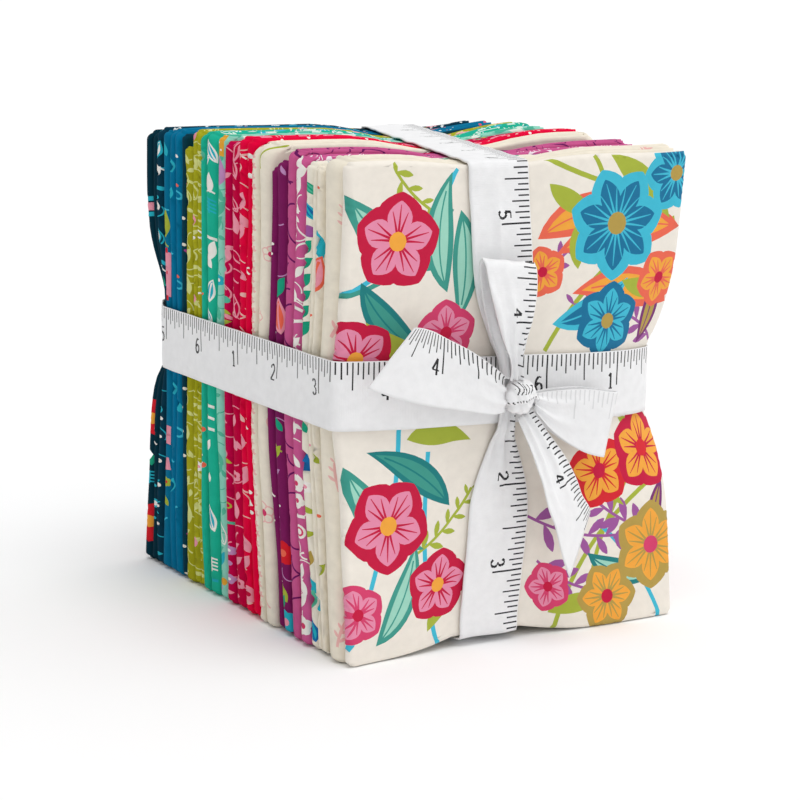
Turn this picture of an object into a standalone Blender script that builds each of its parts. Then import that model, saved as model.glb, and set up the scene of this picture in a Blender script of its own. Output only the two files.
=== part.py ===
"""Fat quarter bundle: folded quarters of cotton stand on edge, tied both ways with a flat ribbon and a bow.

Metres, +Z up. The printed front faces -Y, the rounded fold edges face -X, and the bundle stands on Z = 0.
Every quarter is one strip, folded in layers. Its section is lofted through a few heights, so that the
waist is drawn in where the ribbon ties it.
"""

import math

import bmesh
import bpy
from mathutils import Vector

MM = 0.001

# Driving sizes of the bundle
WIDTH = 115 * MM
HEIGHT = 140 * MM
RIBBON_WIDTH = 20 * MM
RIBBON_THICKNESS = 1.0 * MM
RIBBON_TRIM = 0.3 * MM
PIECE_GAP = 0.36 * MM
LAYER_GAP = 0.26 * MM

# The level ribbon: its middle at the bundle's middle, and its fall towards +X
BAND_HEIGHT = 74 * MM
BAND_SLOPE = -0.037

# How far the tied ribbon draws the bundle in. The right side is drawn in over its whole depth, and the left
# one only at its back corner, which stays so for a while above the ribbon.
PINCH_REACH = 20 * MM
PINCH_RIGHT = 6 * MM
TUCK_LEFT, TUCK_DEPTH = 6 * MM, 14 * MM
TUCK_ABOVE, TUCK_BELOW = 16 * MM, 6 * MM
FRONT_DIP, FRONT_DIP_DEPTH = 2 * MM, 90 * MM
FRONT_LEFT_DIP, FRONT_LEFT_DEPTH = 3 * MM, 20 * MM
FRONT_RIGHT_DIP, FRONT_RIGHT_DEPTH = 8.5 * MM, 45 * MM
BACK_DIP, BACK_LEFT_DIP, BACK_RIGHT_DIP = 1.5 * MM, 1 * MM, 4 * MM
BACK_DIP_DEPTH = 45 * MM

# The upright ribbon: its middle on each edge of the bundle, and how it presses the cloth
UPRIGHT_X = {"front": -8.5 * MM, "back top": 31 * MM, "back bottom": 8 * MM}
PRESS_HALF = 12 * MM
PRESS_REACH = 27 * MM
PRESS_FRONT = 1.4 * MM
PRESS_TOP = 1.5 * MM
ARCH = 1.4 * MM
ARCH_FRONT = 1.8 * MM
ARCH_DEPTH = 15 * MM

# How the upright ribbon gathers and leans towards the knot, on the front only, and its heights there in
# millimetres besides those of the loft
GATHER_HEIGHT = 73 * MM
GATHERED_HALF = 2.6 * MM
GATHER_START, GATHER_REACH = 4 * MM, 30 * MM
GATHER_SHIFT, GATHER_SHIFT_REACH = 5.5 * MM, 66 * MM
STRAP_HEIGHTS = (124, 96, 80, 76, 73, 70, 66, 52, 20)

# Heights of the loft, and whether that height keeps to the level ribbon's edge
LEVELS = (
    (0 * MM, False),
    (40 * MM, False),
    (BAND_HEIGHT - RIBBON_WIDTH / 2, True),
    (BAND_HEIGHT + RIBBON_WIDTH / 2, True),
    (108 * MM, False),
    (HEIGHT, False),
)

CREAM = (0.83, 0.79, 0.70)
AQUA = (0.12, 0.47, 0.37)
LIME = (0.34, 0.34, 0.05)
CRIMSON = (0.50, 0.01, 0.08)
RED = (0.68, 0.01, 0.05)
PURPLE = (0.14, 0.01, 0.08)
MAGENTA = (0.47, 0.06, 0.22)
TEAL = (0.01, 0.17, 0.29)
NAVY = (0.01, 0.04, 0.07)
RIBBON_WHITE = (0.86, 0.86, 0.87)
COTTON_ROUGHNESS = 0.85
RIBBON_ROUGHNESS = 0.7

# How a strip's layers follow each other, by their places from the front. The first one runs to the left.
FOLDS = {
    "pair": (0, 1),
    "two pairs": (0, 1, 2, 3),
    "nested": (0, 3, 2, 1),
    "broad": (0, 5, 4, 1, 2, 3),
    "broad and narrow": (1, 2, 0, 3, 4, 5),
}

# One row a quarter, front to back: name, its share of the depth, its folds, how far it is set in on the
# left, its top above the nominal height, its lift off the floor, and colour
QUARTERS = (
    ("print_front", 4.2, "pair", 0.8, 0.5, 0.0, CREAM),
    ("cream_broad", 11.1, "broad", 0.0, 1.8, 0.0, CREAM),
    ("cream_bits", 5.3, "two pairs", 0.6, -2.0, 1.2, CREAM),
    ("leaf_stripe", 4.6, "pair", 0.3, -1.0, 0.0, AQUA),
    ("pink_leaf", 5.8, "nested", 0.0, 0.2, 0.8, MAGENTA),
    ("magenta_loop", 5.5, "nested", 0.4, 1.5, 0.0, MAGENTA),
    ("purple_petal", 5.7, "nested", 0.1, -1.6, 1.4, PURPLE),
    ("purple_plain", 4.6, "pair", 0.8, -4.2, 0.4, PURPLE),
    ("cream_sprig", 10.2, "broad and narrow", -0.3, 2.5, 0.0, CREAM),
    ("red_dot", 4.4, "pair", 0.2, 2.8, 1.0, RED),
    ("red_leaf", 4.1, "pair", 0.0, 2.9, 0.0, RED),
    ("crimson_leaf", 6.0, "nested", 0.5, 1.2, 1.1, CRIMSON),
    ("crimson_bits", 4.7, "pair", 0.1, 0.8, 0.0, CRIMSON),
    ("aqua_pale", 5.8, "nested", 0.4, 2.2, 0.6, AQUA),
    ("aqua_leaf", 10.1, "broad and narrow", -0.2, 2.8, 0.0, AQUA),
    ("lime_leaf", 6.3, "two pairs", 0.3, 2.6, 1.0, LIME),
    ("lime_plain", 5.8, "nested", 0.0, -2.6, 0.0, LIME),
    ("navy_bits", 2.8, "pair", 0.7, 0.5, 1.3, NAVY),
    ("teal_ring", 7.7, "two pairs", 0.0, 2.0, 0.0, TEAL),
    ("teal_plain", 5.6, "nested", 0.4, 1.0, 0.7, TEAL),
    ("navy_leaf", 4.2, "pair", 0.0, 1.6, 0.0, NAVY),
    ("navy_back", 8.5, "two pairs", 0.5, 0.4, 0.0, NAVY),
)
DEPTH = sum(row[1] for row in QUARTERS) * MM

# Section stations across the bundle: an end, a shoulder, the two edges of the strip that the upright ribbon
# presses, a shoulder and an end
LEFT_END, RIGHT_END = 0, 5
SHOULDER_SHARE = 0.6
TURN_STEPS = 4
EXACT = 9

# How the ribbons run: the level one round the corners and along the sides, and the upright one over the
# level one and round the edges
CORNER_RADIUS = 1.8 * MM
CORNER_STEPS = 3
SIDE_DEEPS = (16 * MM, 46 * MM, 86 * MM, DEPTH - TUCK_DEPTH)
TOP_SHARES = (0.33, 0.67)
CROSSING_CLEARANCE = 1 * MM
CROSSING_EASING = 3 * MM
EDGE_REACH = 1.2 * MM
EDGE_SHARE = 0.8
FLOOR_DEEPS = (66.5 * MM, 15 * MM, 8 * MM, 4 * MM)

# The bow, in millimetres on the front: across, height, how proud of the front, half width, the turn of the
# width from upright, and how far the width leans out at one edge
KNOT_CENTRE = (-2.8, 73.0, 3.7)
KNOT_RADII = (4.4, 5.0, 4.0)
KNOT_PLEATS = 4
KNOT_PLEAT_SHARE = 0.05
KNOT_SEGMENTS, KNOT_RINGS = 16, 8
LOOP_UP = (
    (-4.6, 78.2, 5.0, 2.4, 90, 0),
    (-5.4, 83.2, 5.9, 2.2, 91, 0),
    (-6.4, 88.5, 6.4, 3.6, 92, 0),
    (-6.6, 95.0, 6.6, 5.6, 94, 0),
    (-7.1, 103.6, 6.2, 7.9, 96, 0),
    (-7.8, 110.6, 5.6, 8.6, 97, 0),
    (-8.0, 112.2, 4.3, 8.8, 97, 0),
    (-8.0, 110.6, 3.0, 8.7, 97, 0),
    (-7.0, 102.5, 2.4, 8.4, 96, 0),
    (-5.9, 91.4, 2.2, 6.4, 94, 0),
    (-5.0, 83.2, 2.2, 3.4, 91, 0),
    (-4.6, 78.2, 2.6, 2.4, 90, 0),
)
LOOP_RIGHT = (
    (1.9, 71.0, 4.4, 2.4, 0, 0),
    (8.0, 68.0, 5.4, 6.0, 1, 0),
    (17.7, 64.8, 5.8, 9.0, 3, 0),
    (26.6, 62.5, 5.2, 9.6, 10, 0),
    (29.0, 62.2, 3.7, 9.7, 12, 0),
    (26.6, 62.7, 2.3, 9.6, 10, 0),
    (17.7, 65.1, 1.7, 8.8, 3, 0),
    (8.0, 68.3, 1.6, 5.8, 1, 0),
    (1.9, 71.4, 2.6, 2.4, 0, 0),
)
TAIL_LEFT = (
    (-7.8, 74.0, 4.0, 5.0, -2, 0),
    (-11.5, 75.2, 4.6, 6.6, 1, 0),
    (-19.4, 78.8, 4.6, 8.9, -5, 0),
    (-30.0, 82.4, 5.0, 10.0, 3, 0),
    (-38.6, 85.2, 6.0, 10.3, 22, 0),
    (-46.8, 87.9, 7.0, 10.6, 42, 0),
)
TAIL_LOW = (
    (-1.2, 67.8, 4.2, 2.4, 66, 0),
    (2.0, 60.9, 6.6, 3.7, 60, -1.0),
    (6.8, 51.6, 7.8, 5.7, 72, -2.2),
    (10.3, 43.4, 8.0, 7.2, 68, -3.0),
    (13.3, 37.2, 7.6, 7.8, 62, -3.4),
    (17.4, 27.9, 6.6, 9.9, 35, -3.4),
)


def clear_scene():
    for thing in list(bpy.data.objects):
        bpy.data.objects.remove(thing, do_unlink=True)


def finish(name, colour, roughness):
    """A plain cloth finish for one sub-part."""
    material = bpy.data.materials.new(name)
    material.use_nodes = True
    shader = material.node_tree.nodes["Principled BSDF"]
    shader.inputs["Base Color"].default_value = (*colour, 1)
    shader.inputs["Roughness"].default_value = roughness
    shader.inputs["Metallic"].default_value = 0
    return material


def add_solid(name, points, triangles, material, collection):
    """One named object from points and triangles, its faces turned outwards."""
    mesh = bpy.data.meshes.new(name)
    shape = bmesh.new()
    corners = [shape.verts.new(point) for point in points]
    for triangle in triangles:
        shape.faces.new([corners[index] for index in triangle])
    bmesh.ops.recalc_face_normals(shape, faces=shape.faces)
    shape.to_mesh(mesh)
    shape.free()
    mesh.materials.append(material)
    piece = bpy.data.objects.new(name, mesh)
    collection.objects.link(piece)
    return piece


# The shape that the ribbon gives the bundle. A nominal point is across, deep (from the front) and high.


def band_middle(across):
    """Height of the level ribbon's middle line."""
    return BAND_HEIGHT + BAND_SLOPE * across


def waist_share(across, high):
    """1 under the level ribbon, and fading out above and below it."""
    gap = max(0, abs(high - band_middle(across)) - RIBBON_WIDTH / 2)
    return math.exp(-gap / PINCH_REACH)


def tuck_share(across, high):
    """The same for the left side's back corner, which is drawn in further up than down."""
    above = high - band_middle(across) - RIBBON_WIDTH / 2
    below = band_middle(across) - RIBBON_WIDTH / 2 - high
    return math.exp(-((max(0, above) / TUCK_ABOVE) ** 2) - max(0, below) / TUCK_BELOW)


def fade(distance, reach):
    return min(1, max(0, 1 - distance / reach))


def upright_middle(deep, high):
    """Where the upright ribbon's middle line is, across the bundle."""
    back = UPRIGHT_X["back bottom"] + (UPRIGHT_X["back top"] - UPRIGHT_X["back bottom"]) * high / HEIGHT
    return UPRIGHT_X["front"] + (back - UPRIGHT_X["front"]) * deep / DEPTH


def pressed(across, deep, high):
    """1 under the upright ribbon, and fading out beside it."""
    return fade(abs(across - upright_middle(deep, high)) - PRESS_HALF, PRESS_REACH) ** 2


def arch(deep):
    """How far the ribbon lifts the cloth off the floor."""
    return ARCH + ARCH_FRONT * fade(deep, ARCH_DEPTH) ** 2


def drawn_in(across, deep, high):
    """The nominal point, moved to where the tied ribbon leaves it, in the bundle's own axes."""
    waist = waist_share(across, high)
    press = pressed(across, deep, high)
    reach = min(1, abs(across) / (WIDTH / 2))
    behind = DEPTH - deep
    if across > 0:
        x = across - PINCH_RIGHT * waist * reach**2
        front = FRONT_RIGHT_DIP * reach**4 * fade(deep, FRONT_RIGHT_DEPTH)
        back = BACK_RIGHT_DIP * reach**4
    else:
        x = across + TUCK_LEFT * tuck_share(across, high) * fade(behind, TUCK_DEPTH) * reach**2
        front = FRONT_LEFT_DIP * reach**4 * fade(deep, FRONT_LEFT_DEPTH)
        back = BACK_LEFT_DIP * reach**4
    front = waist * (front + FRONT_DIP * fade(deep, FRONT_DIP_DEPTH))
    back = waist * (back + BACK_DIP) * fade(behind, BACK_DIP_DEPTH)
    dent = PRESS_FRONT * press * (fade(deep, BACK_DIP_DEPTH) - fade(behind, BACK_DIP_DEPTH))
    y = deep - DEPTH / 2 + front - back + dent
    return Vector((x, y, high))


# The quarters


def station_across(station, deep, high, ends):
    """Across at a station of the section: the outer ones are the quarter's own ends."""
    middle = upright_middle(deep, high)
    left, right = middle - PRESS_HALF, middle + PRESS_HALF
    return (
        ends[0],
        left + SHOULDER_SHARE * (ends[0] - left),
        left,
        right,
        right + SHOULDER_SHARE * (ends[1] - right),
        ends[1],
    )[station]


def section(start, share, order):
    """A folded strip as rungs: each pairs a point on its one face with a point on its other.

    A point is a station, how far it lies outwards of it, and how deep it is.
    """
    thickness = (share - PIECE_GAP - (len(order) - 1) * LAYER_GAP) / len(order)
    pitch = thickness + LAYER_GAP
    turns = list(zip(order, order[1:]))

    def inset(layer, end_turns):
        """How far from the end a layer turns: as far as the widest turn that holds it."""
        spans = [abs(a - b) for a, b in end_turns if min(a, b) <= layer <= max(a, b)]
        return (max(spans, default=1) * pitch + thickness) / 2

    rungs = []
    for index, layer in enumerate(order):
        near = start + PIECE_GAP / 2 + layer * pitch
        faces = (near, near + thickness) if index % 2 == 0 else (near + thickness, near)
        insets = {LEFT_END: inset(layer, turns[::2]), RIGHT_END: -inset(layer, turns[1::2])}
        stations = range(LEFT_END, RIGHT_END + 1)
        ordered = list(stations if index % 2 else reversed(stations))
        for station in ordered:
            rungs.append([(station, insets.get(station, 0), face) for face in faces])
        if index < len(turns):
            span = (order[index + 1] - layer) * pitch
            rungs += turn(rungs[-1], ordered[-1], span, thickness, (span > 0) == (index % 2 == 0))
    return [[(place[0], round(place[1], EXACT), round(place[2], EXACT)) for place in rung] for rung in rungs]


def turn(last, station, span, thickness, outer_is_one):
    """The rungs of a fold, round the middle between two layers."""
    outward = -1 if station == LEFT_END else 1
    centre = (last[0][2] + last[1][2] + span) / 2
    inset = last[0][1]
    outer, inner = (abs(span) + thickness) / 2, (abs(span) - thickness) / 2
    ahead = math.copysign(1, span)
    rungs = []
    for step in range(1, TURN_STEPS):
        angle = math.pi * step / TURN_STEPS
        side, along = math.sin(angle), math.cos(angle)
        point = (station, inset + outward * outer * side, centre - ahead * outer * along)
        if inner < LAYER_GAP:
            held = (station, inset, centre - ahead * inner * (1 if step <= TURN_STEPS / 2 else -1))
        else:
            held = (station, inset + outward * inner * side, centre - ahead * inner * along)
        rungs.append([point, held] if outer_is_one else [held, point])
    return rungs


def quarter(row, start, collection):
    """One folded quarter, lofted through the levels."""
    name, share, folds, set_in, top, lift, colour = row
    rungs = section(start, share * MM, FOLDS[folds])
    ones = list(dict.fromkeys(rung[0] for rung in rungs))
    others = list(dict.fromkeys(rung[1] for rung in rungs))
    ring = ones + others[::-1]
    place = {point: index for index, point in enumerate(ring)}
    points = []
    for level, (height, keeps_to_band) in enumerate(LEVELS):
        for station, inset, deep in ring:
            loose = 1 - waist_share(0, height)
            ends = (-WIDTH / 2 + set_in * MM * loose, WIDTH / 2 - set_in * MM * loose / 2)
            across = station_across(station, deep, height, ends) + inset
            high = height + (BAND_SLOPE * across if keeps_to_band else 0)
            point = drawn_in(across, deep, high)
            press = pressed(across, deep, height)
            if level == 0:
                point.z = max(lift * MM, arch(deep)) * press + lift * MM * (1 - press)
            elif level == len(LEVELS) - 1:
                point.z += top * MM * (1 - press) - PRESS_TOP * press
            points.append(point)
    count = len(ring)
    triangles = []
    for level in range(len(LEVELS) - 1):
        for index in range(count):
            after = (index + 1) % count
            low, low_after = level * count + index, level * count + after
            rightward = ring[after][0] > ring[index][0]
            if rightward:
                triangles += [(low, low_after, low_after + count), (low, low_after + count, low + count)]
            else:
                triangles += [(low, low_after, low + count), (low_after, low_after + count, low + count)]
    for base in (0, (len(LEVELS) - 1) * count):
        for (one, other), (next_one, next_other) in zip(rungs, rungs[1:]):
            a, b = base + place[one], base + place[other]
            c, d = base + place[next_one], base + place[next_other]
            if a != c:
                triangles.append((a, c, b))
            if b != d:
                triangles.append((c, d, b))
    material = finish("cotton_" + name, colour, COTTON_ROUGHNESS)
    return add_solid(name, points, triangles, material, collection)


# The ribbon


def loft(name, sections, closed, material, collection):
    """A strip through four-cornered sections."""
    points = [corner for corners in sections for corner in corners]
    triangles = []
    steps = len(sections) if closed else len(sections) - 1
    for step in range(steps):
        here, there = 4 * step, 4 * ((step + 1) % len(sections))
        for edge in range(4):
            after = (edge + 1) % 4
            triangles += [
                (here + edge, here + after, there + after),
                (here + edge, there + after, there + edge),
            ]
    if not closed:
        last = 4 * (len(sections) - 1)
        triangles += [(0, 1, 2), (0, 2, 3), (last, last + 1, last + 2), (last, last + 2, last + 3)]
    return add_solid(name, points, triangles, material, collection)


def level_ribbon(material, collection):
    """Round the waist, just clear of the folds."""
    half, corner = WIDTH / 2, CORNER_RADIUS
    inner = range(LEFT_END + 1, RIGHT_END)
    front = [station_across(station, 0, BAND_HEIGHT, (-half, half)) for station in inner]
    back = [station_across(station, DEPTH, BAND_HEIGHT, (-half, half)) for station in inner]

    def round_corner(across, deep, first_angle):
        """A quarter turn, from the angle given in degrees."""
        for step in range(CORNER_STEPS + 1):
            angle = math.radians(first_angle + 90 * step / CORNER_STEPS)
            nx, nv = math.cos(angle), math.sin(angle)
            yield across + corner * nx, deep + corner * nv, nx, nv

    route = [(across, 0, 0, -1) for across in front]
    route += round_corner(half - corner, corner, -90)
    route += [(half, deep, 1, 0) for deep in SIDE_DEEPS]
    route += round_corner(half - corner, DEPTH - corner, 0)
    route += [(across, DEPTH, 0, 1) for across in reversed(back)]
    route += round_corner(corner - half, DEPTH - corner, 90)
    route += [(-half, deep, -1, 0) for deep in reversed(SIDE_DEEPS)]
    route += round_corner(corner - half, corner, 180)

    sections = []
    for across, deep, nx, nv in route:
        corners = []
        for rise, out in ((-1, 0), (1, 0), (1, 1), (-1, 1)):
            away = PIECE_GAP + out * RIBBON_THICKNESS
            high = band_middle(across) + rise * (RIBBON_WIDTH / 2 - RIBBON_TRIM)
            corners.append(drawn_in(across + nx * away, deep + nv * away, high))
        sections.append(corners)
    return loft("ribbon_level", sections, True, material, collection)


def strap(deep, high):
    """The upright ribbon's middle and half width."""
    middle, half = upright_middle(deep, high), RIBBON_WIDTH / 2 - RIBBON_TRIM
    if deep > 0:
        return middle, half
    gap = abs(high - GATHER_HEIGHT)
    share = 1 - fade(gap - GATHER_START, GATHER_REACH)
    share *= share * (3 - 2 * share)
    middle += GATHER_SHIFT * fade(gap, GATHER_SHIFT_REACH)
    return middle, GATHERED_HALF + (half - GATHERED_HALF) * share


def upright_ribbon(material, collection):
    """Up the front, over the top, down the back and under, outside the level ribbon."""
    over = PIECE_GAP + RIBBON_THICKNESS
    crossing = RIBBON_WIDTH / 2 + CROSSING_CLEARANCE
    top = HEIGHT - PRESS_TOP
    edge, slant = EDGE_REACH, EDGE_SHARE
    heights = (
        (top - edge, 0),
        (LEVELS[-2][0], 0),
        (BAND_HEIGHT + crossing + CROSSING_EASING, 0),
        (BAND_HEIGHT + crossing, over),
        (BAND_HEIGHT - crossing, over),
        (BAND_HEIGHT - crossing - CROSSING_EASING, 0),
        (LEVELS[1][0], 0),
    )
    front = list(heights)
    for high in STRAP_HEIGHTS:
        front.append((high * MM, over if abs(high * MM - BAND_HEIGHT) < crossing else 0))
    route = [(0, high, -1, 0, extra) for high, extra in sorted(front)]
    route += [(0, top, -slant, slant, 0), (edge, top, 0, 1, 0)]
    route += [(DEPTH * share, top, 0, 1, 0) for share in TOP_SHARES]
    route += [(DEPTH - edge, top, 0, 1, 0), (DEPTH, top, slant, slant, 0)]
    route += [(DEPTH, high, 1, 0, extra) for high, extra in heights]
    route += [(DEPTH, ARCH + edge, 1, 0, 0), (DEPTH, ARCH, slant, -slant, 0)]
    route += [(deep, arch(deep), 0, -1, 0) for deep in (DEPTH - edge, *FLOOR_DEEPS, edge)]
    route += [(0, arch(0), -slant, -slant, 0), (0, arch(0) + edge, -1, 0, 0)]

    sections = []
    for deep, high, nv, nz, extra in route:
        middle, half = strap(deep, high)
        corners = []
        for side, out in ((-1, 0), (1, 0), (1, 1), (-1, 1)):
            away = PIECE_GAP + extra + out * RIBBON_THICKNESS
            point = drawn_in(middle + side * half, deep + nv * away, high)
            point.z += nz * away
            corners.append(point)
        sections.append(corners)
    return loft("ribbon_upright", sections, True, material, collection)


def bow_strip(name, table, material, collection):
    """A flat length of ribbon whose width follows the table."""
    centres = [Vector((x, -proud, z)) * MM - Vector((0, DEPTH / 2, 0)) for x, z, proud, *_ in table]
    sections = []
    for index, (_, _, _, half, turned, lean) in enumerate(table):
        angle = math.radians(turned)
        across = Vector((math.sin(angle) * half, -lean, math.cos(angle) * half)) * MM
        ahead = centres[min(index + 1, len(table) - 1)] - centres[max(index - 1, 0)]
        thick = across.cross(ahead).normalized() * RIBBON_THICKNESS / 2
        one, other = centres[index] - across, centres[index] + across
        sections.append([one - thick, other - thick, other + thick, one + thick])
    return loft(name, sections, False, material, collection)


def knot(material, collection):
    """The gathered knot: a round form with soft pleats that run through it."""
    bpy.ops.mesh.primitive_uv_sphere_add(segments=KNOT_SEGMENTS, ring_count=KNOT_RINGS, radius=1)
    piece = bpy.context.object
    piece.name = piece.data.name = "knot"
    for vertex in piece.data.vertices:
        around = math.atan2(vertex.co.z, vertex.co.x)
        pleat = 1 - KNOT_PLEAT_SHARE * (1 - math.cos(KNOT_PLEATS * around)) / 2
        across, high, proud = (radius * pleat * MM for radius in KNOT_RADII)
        vertex.co = (vertex.co.x * across, vertex.co.y * proud, vertex.co.z * high)
    across, high, proud = (part * MM for part in KNOT_CENTRE)
    piece.location = (across, -proud - DEPTH / 2, high)
    piece.data.materials.append(material)
    for owner in list(piece.users_collection):
        owner.objects.unlink(piece)
    collection.objects.link(piece)
    piece.data.shade_smooth()
    return piece


def stand_at_origin(pieces):
    """Moves all the pieces so that the origin is the middle of their box's floor."""
    bpy.context.view_layer.update()
    corners = [piece.matrix_world @ Vector(corner) for piece in pieces for corner in piece.bound_box]
    low = Vector(min(corner[axis] for corner in corners) for axis in range(3))
    high = Vector(max(corner[axis] for corner in corners) for axis in range(3))
    shift = Vector((-(low.x + high.x) / 2, -(low.y + high.y) / 2, -low.z))
    for piece in pieces:
        piece.location += shift


def build():
    clear_scene()
    collection = bpy.data.collections.new("fat_quarter_bundle")
    bpy.context.scene.collection.children.link(collection)
    pieces = []
    start = 0
    for row in QUARTERS:
        pieces.append(quarter(row, start, collection))
        start += row[1] * MM
    ribbon = finish("ribbon_weave", RIBBON_WHITE, RIBBON_ROUGHNESS)
    pieces.append(level_ribbon(ribbon, collection))
    pieces.append(upright_ribbon(ribbon, collection))
    pieces.append(knot(ribbon, collection))
    for name, table in (
        ("loop_up", LOOP_UP),
        ("loop_right", LOOP_RIGHT),
        ("tail_left", TAIL_LEFT),
        ("tail_low", TAIL_LOW),
    ):
        pieces.append(bow_strip(name, table, ribbon, collection))
    stand_at_origin(pieces)


build()
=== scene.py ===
"""Dresses the fat quarter bundle: folded printed cottons, a measured ribbon and its bow."""

import math
from bisect import bisect_left

import bmesh
import bpy
from mathutils import Matrix, Vector, noise
from mathutils.geometry import delaunay_2d_cdt


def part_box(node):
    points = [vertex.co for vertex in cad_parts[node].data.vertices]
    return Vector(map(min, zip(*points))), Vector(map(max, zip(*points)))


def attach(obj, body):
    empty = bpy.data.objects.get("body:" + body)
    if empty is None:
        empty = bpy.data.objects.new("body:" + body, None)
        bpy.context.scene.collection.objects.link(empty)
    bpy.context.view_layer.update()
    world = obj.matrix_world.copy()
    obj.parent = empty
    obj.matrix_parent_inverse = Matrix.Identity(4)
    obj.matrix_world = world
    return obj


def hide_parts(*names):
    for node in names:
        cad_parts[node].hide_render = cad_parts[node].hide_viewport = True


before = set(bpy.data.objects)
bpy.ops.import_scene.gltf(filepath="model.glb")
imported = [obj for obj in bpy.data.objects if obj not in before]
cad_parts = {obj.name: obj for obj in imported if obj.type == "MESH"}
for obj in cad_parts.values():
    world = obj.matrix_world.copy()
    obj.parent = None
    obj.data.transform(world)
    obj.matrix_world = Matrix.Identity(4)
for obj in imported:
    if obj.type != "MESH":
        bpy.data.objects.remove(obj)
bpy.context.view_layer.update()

MM = 0.001

# Sizes in millimetres, as the solids have them
WIDTH, HEIGHT = 115, 140
RIBBON_WIDTH = 20
PIECE_GAP = 0.3
LAYER_GAP = 0.16
BAND_HEIGHT, BAND_SLOPE = 74, -0.037
PINCH_REACH, PINCH_RIGHT = 20, 6
TUCK_LEFT, TUCK_DEPTH, TUCK_ABOVE, TUCK_BELOW = 6, 14, 16, 6
FRONT_DIP, FRONT_DIP_DEPTH = 2, 90
FRONT_LEFT_DIP, FRONT_LEFT_DEPTH = 3, 20
FRONT_RIGHT_DIP, FRONT_RIGHT_DEPTH = 8.5, 45
BACK_DIP, BACK_LEFT_DIP, BACK_RIGHT_DIP, BACK_DIP_DEPTH = 1.5, 1, 4, 45
UPRIGHT_X = {"front": -8.5, "back top": 31, "back bottom": 8}
PRESS_HALF, PRESS_REACH, PRESS_FRONT, PRESS_TOP = 12, 27, 1.4, 1.5
ARCH, ARCH_FRONT, ARCH_DEPTH = 1.4, 1.8, 15
GATHER_HEIGHT, GATHERED_HALF, GATHER_START, GATHER_REACH = 73, 2.6, 4, 30
GATHER_SHIFT, GATHER_SHIFT_REACH = 5.5, 66
# Small unevenness of the layers: how far they sway, spread forwards near the floor, and crown at the top
SWAY, SWAY_REACH = 1.2, 38
RELIEF, RELIEF_REACH, RELIEF_DEPTH, RELIEF_HELD = 1.1, 24, 14, 0.7
SPREAD, SPREAD_HEIGHT = 4, 55
# How far the folds on the left lean forwards at the floor, by their depth
LEAN = ((-3, 2.5), (12, 5.5), (58, 6), (72, 2), (104, 1), (118, -2), (140, -3))
CROWN = 0.13
FOOT_RADIUS = 1.2
TOP_UNEVEN, TOP_UNEVEN_REACH = 0.5, 30
END_UNEVEN, END_UNEVEN_REACH = 0.9, 34
RIGHT_ROUNDING = 0.6
# A layer's rounded edges: the least share of its thickness that is left, and the steps over them
EDGE_SHARE, EDGE_STEPS = 0.12, (0.33, 0.66, 1)

# How a strip's layers follow each other, by their places from the front. The first one runs to the left.
FOLDS = {
    "pair": (0, 1),
    "two pairs": (0, 1, 2, 3),
    "nested": (0, 3, 2, 1),
    "broad": (0, 5, 4, 1, 2, 3),
    "broad and narrow": (1, 2, 0, 3, 4, 5),
}

# One row a quarter, front to back: name, its share of the depth, its folds, how far it is set in on the
# left, its top above the nominal height, its lift off the floor, and how round its upper left corner is
QUARTERS = (
    ("print_front", 4.2, "pair", 0.8, 0.5, 0.0, 1.2),
    ("cream_broad", 11.1, "broad", 0.0, 1.8, 0.0, 3.0),
    ("cream_bits", 5.3, "two pairs", 0.6, -2.0, 0.5, 0.8),
    ("leaf_stripe", 4.6, "pair", 0.3, -1.0, 0.0, 1.0),
    ("pink_leaf", 5.8, "nested", 0.0, 0.2, 0.3, 1.4),
    ("magenta_loop", 5.5, "nested", 0.4, 1.5, 0.0, 2.0),
    ("purple_petal", 5.7, "nested", 0.1, -1.6, 0.6, 1.5),
    ("purple_plain", 4.6, "pair", 0.8, -4.2, 0.2, 0.6),
    ("cream_sprig", 10.2, "broad and narrow", -0.3, 2.5, 0.0, 4.5),
    ("red_dot", 4.4, "pair", 0.2, 2.8, 0.4, 1.4),
    ("red_leaf", 4.1, "pair", 0.0, 2.9, 0.0, 1.4),
    ("crimson_leaf", 6.0, "nested", 0.5, 1.2, 0.4, 1.0),
    ("crimson_bits", 4.7, "pair", 0.1, 0.8, 0.0, 0.8),
    ("aqua_pale", 5.8, "nested", 0.4, 2.2, 0.2, 1.4),
    ("aqua_leaf", 10.1, "broad and narrow", -0.2, 2.8, 0.0, 2.0),
    ("lime_leaf", 6.3, "two pairs", 0.3, 2.6, 0.4, 1.4),
    ("lime_plain", 5.8, "nested", 0.0, -2.6, 0.0, 0.8),
    ("navy_bits", 2.8, "pair", 0.7, 0.5, 0.5, 1.0),
    ("teal_ring", 7.7, "two pairs", 0.0, 2.0, 0.0, 2.0),
    ("teal_plain", 5.6, "nested", 0.4, 1.0, 0.3, 1.5),
    ("navy_leaf", 4.2, "pair", 0.0, 1.6, 0.0, 2.0),
    ("navy_back", 8.5, "two pairs", 0.5, 0.4, 0.0, 2.0),
)
DEPTH = sum(row[1] for row in QUARTERS)

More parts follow.
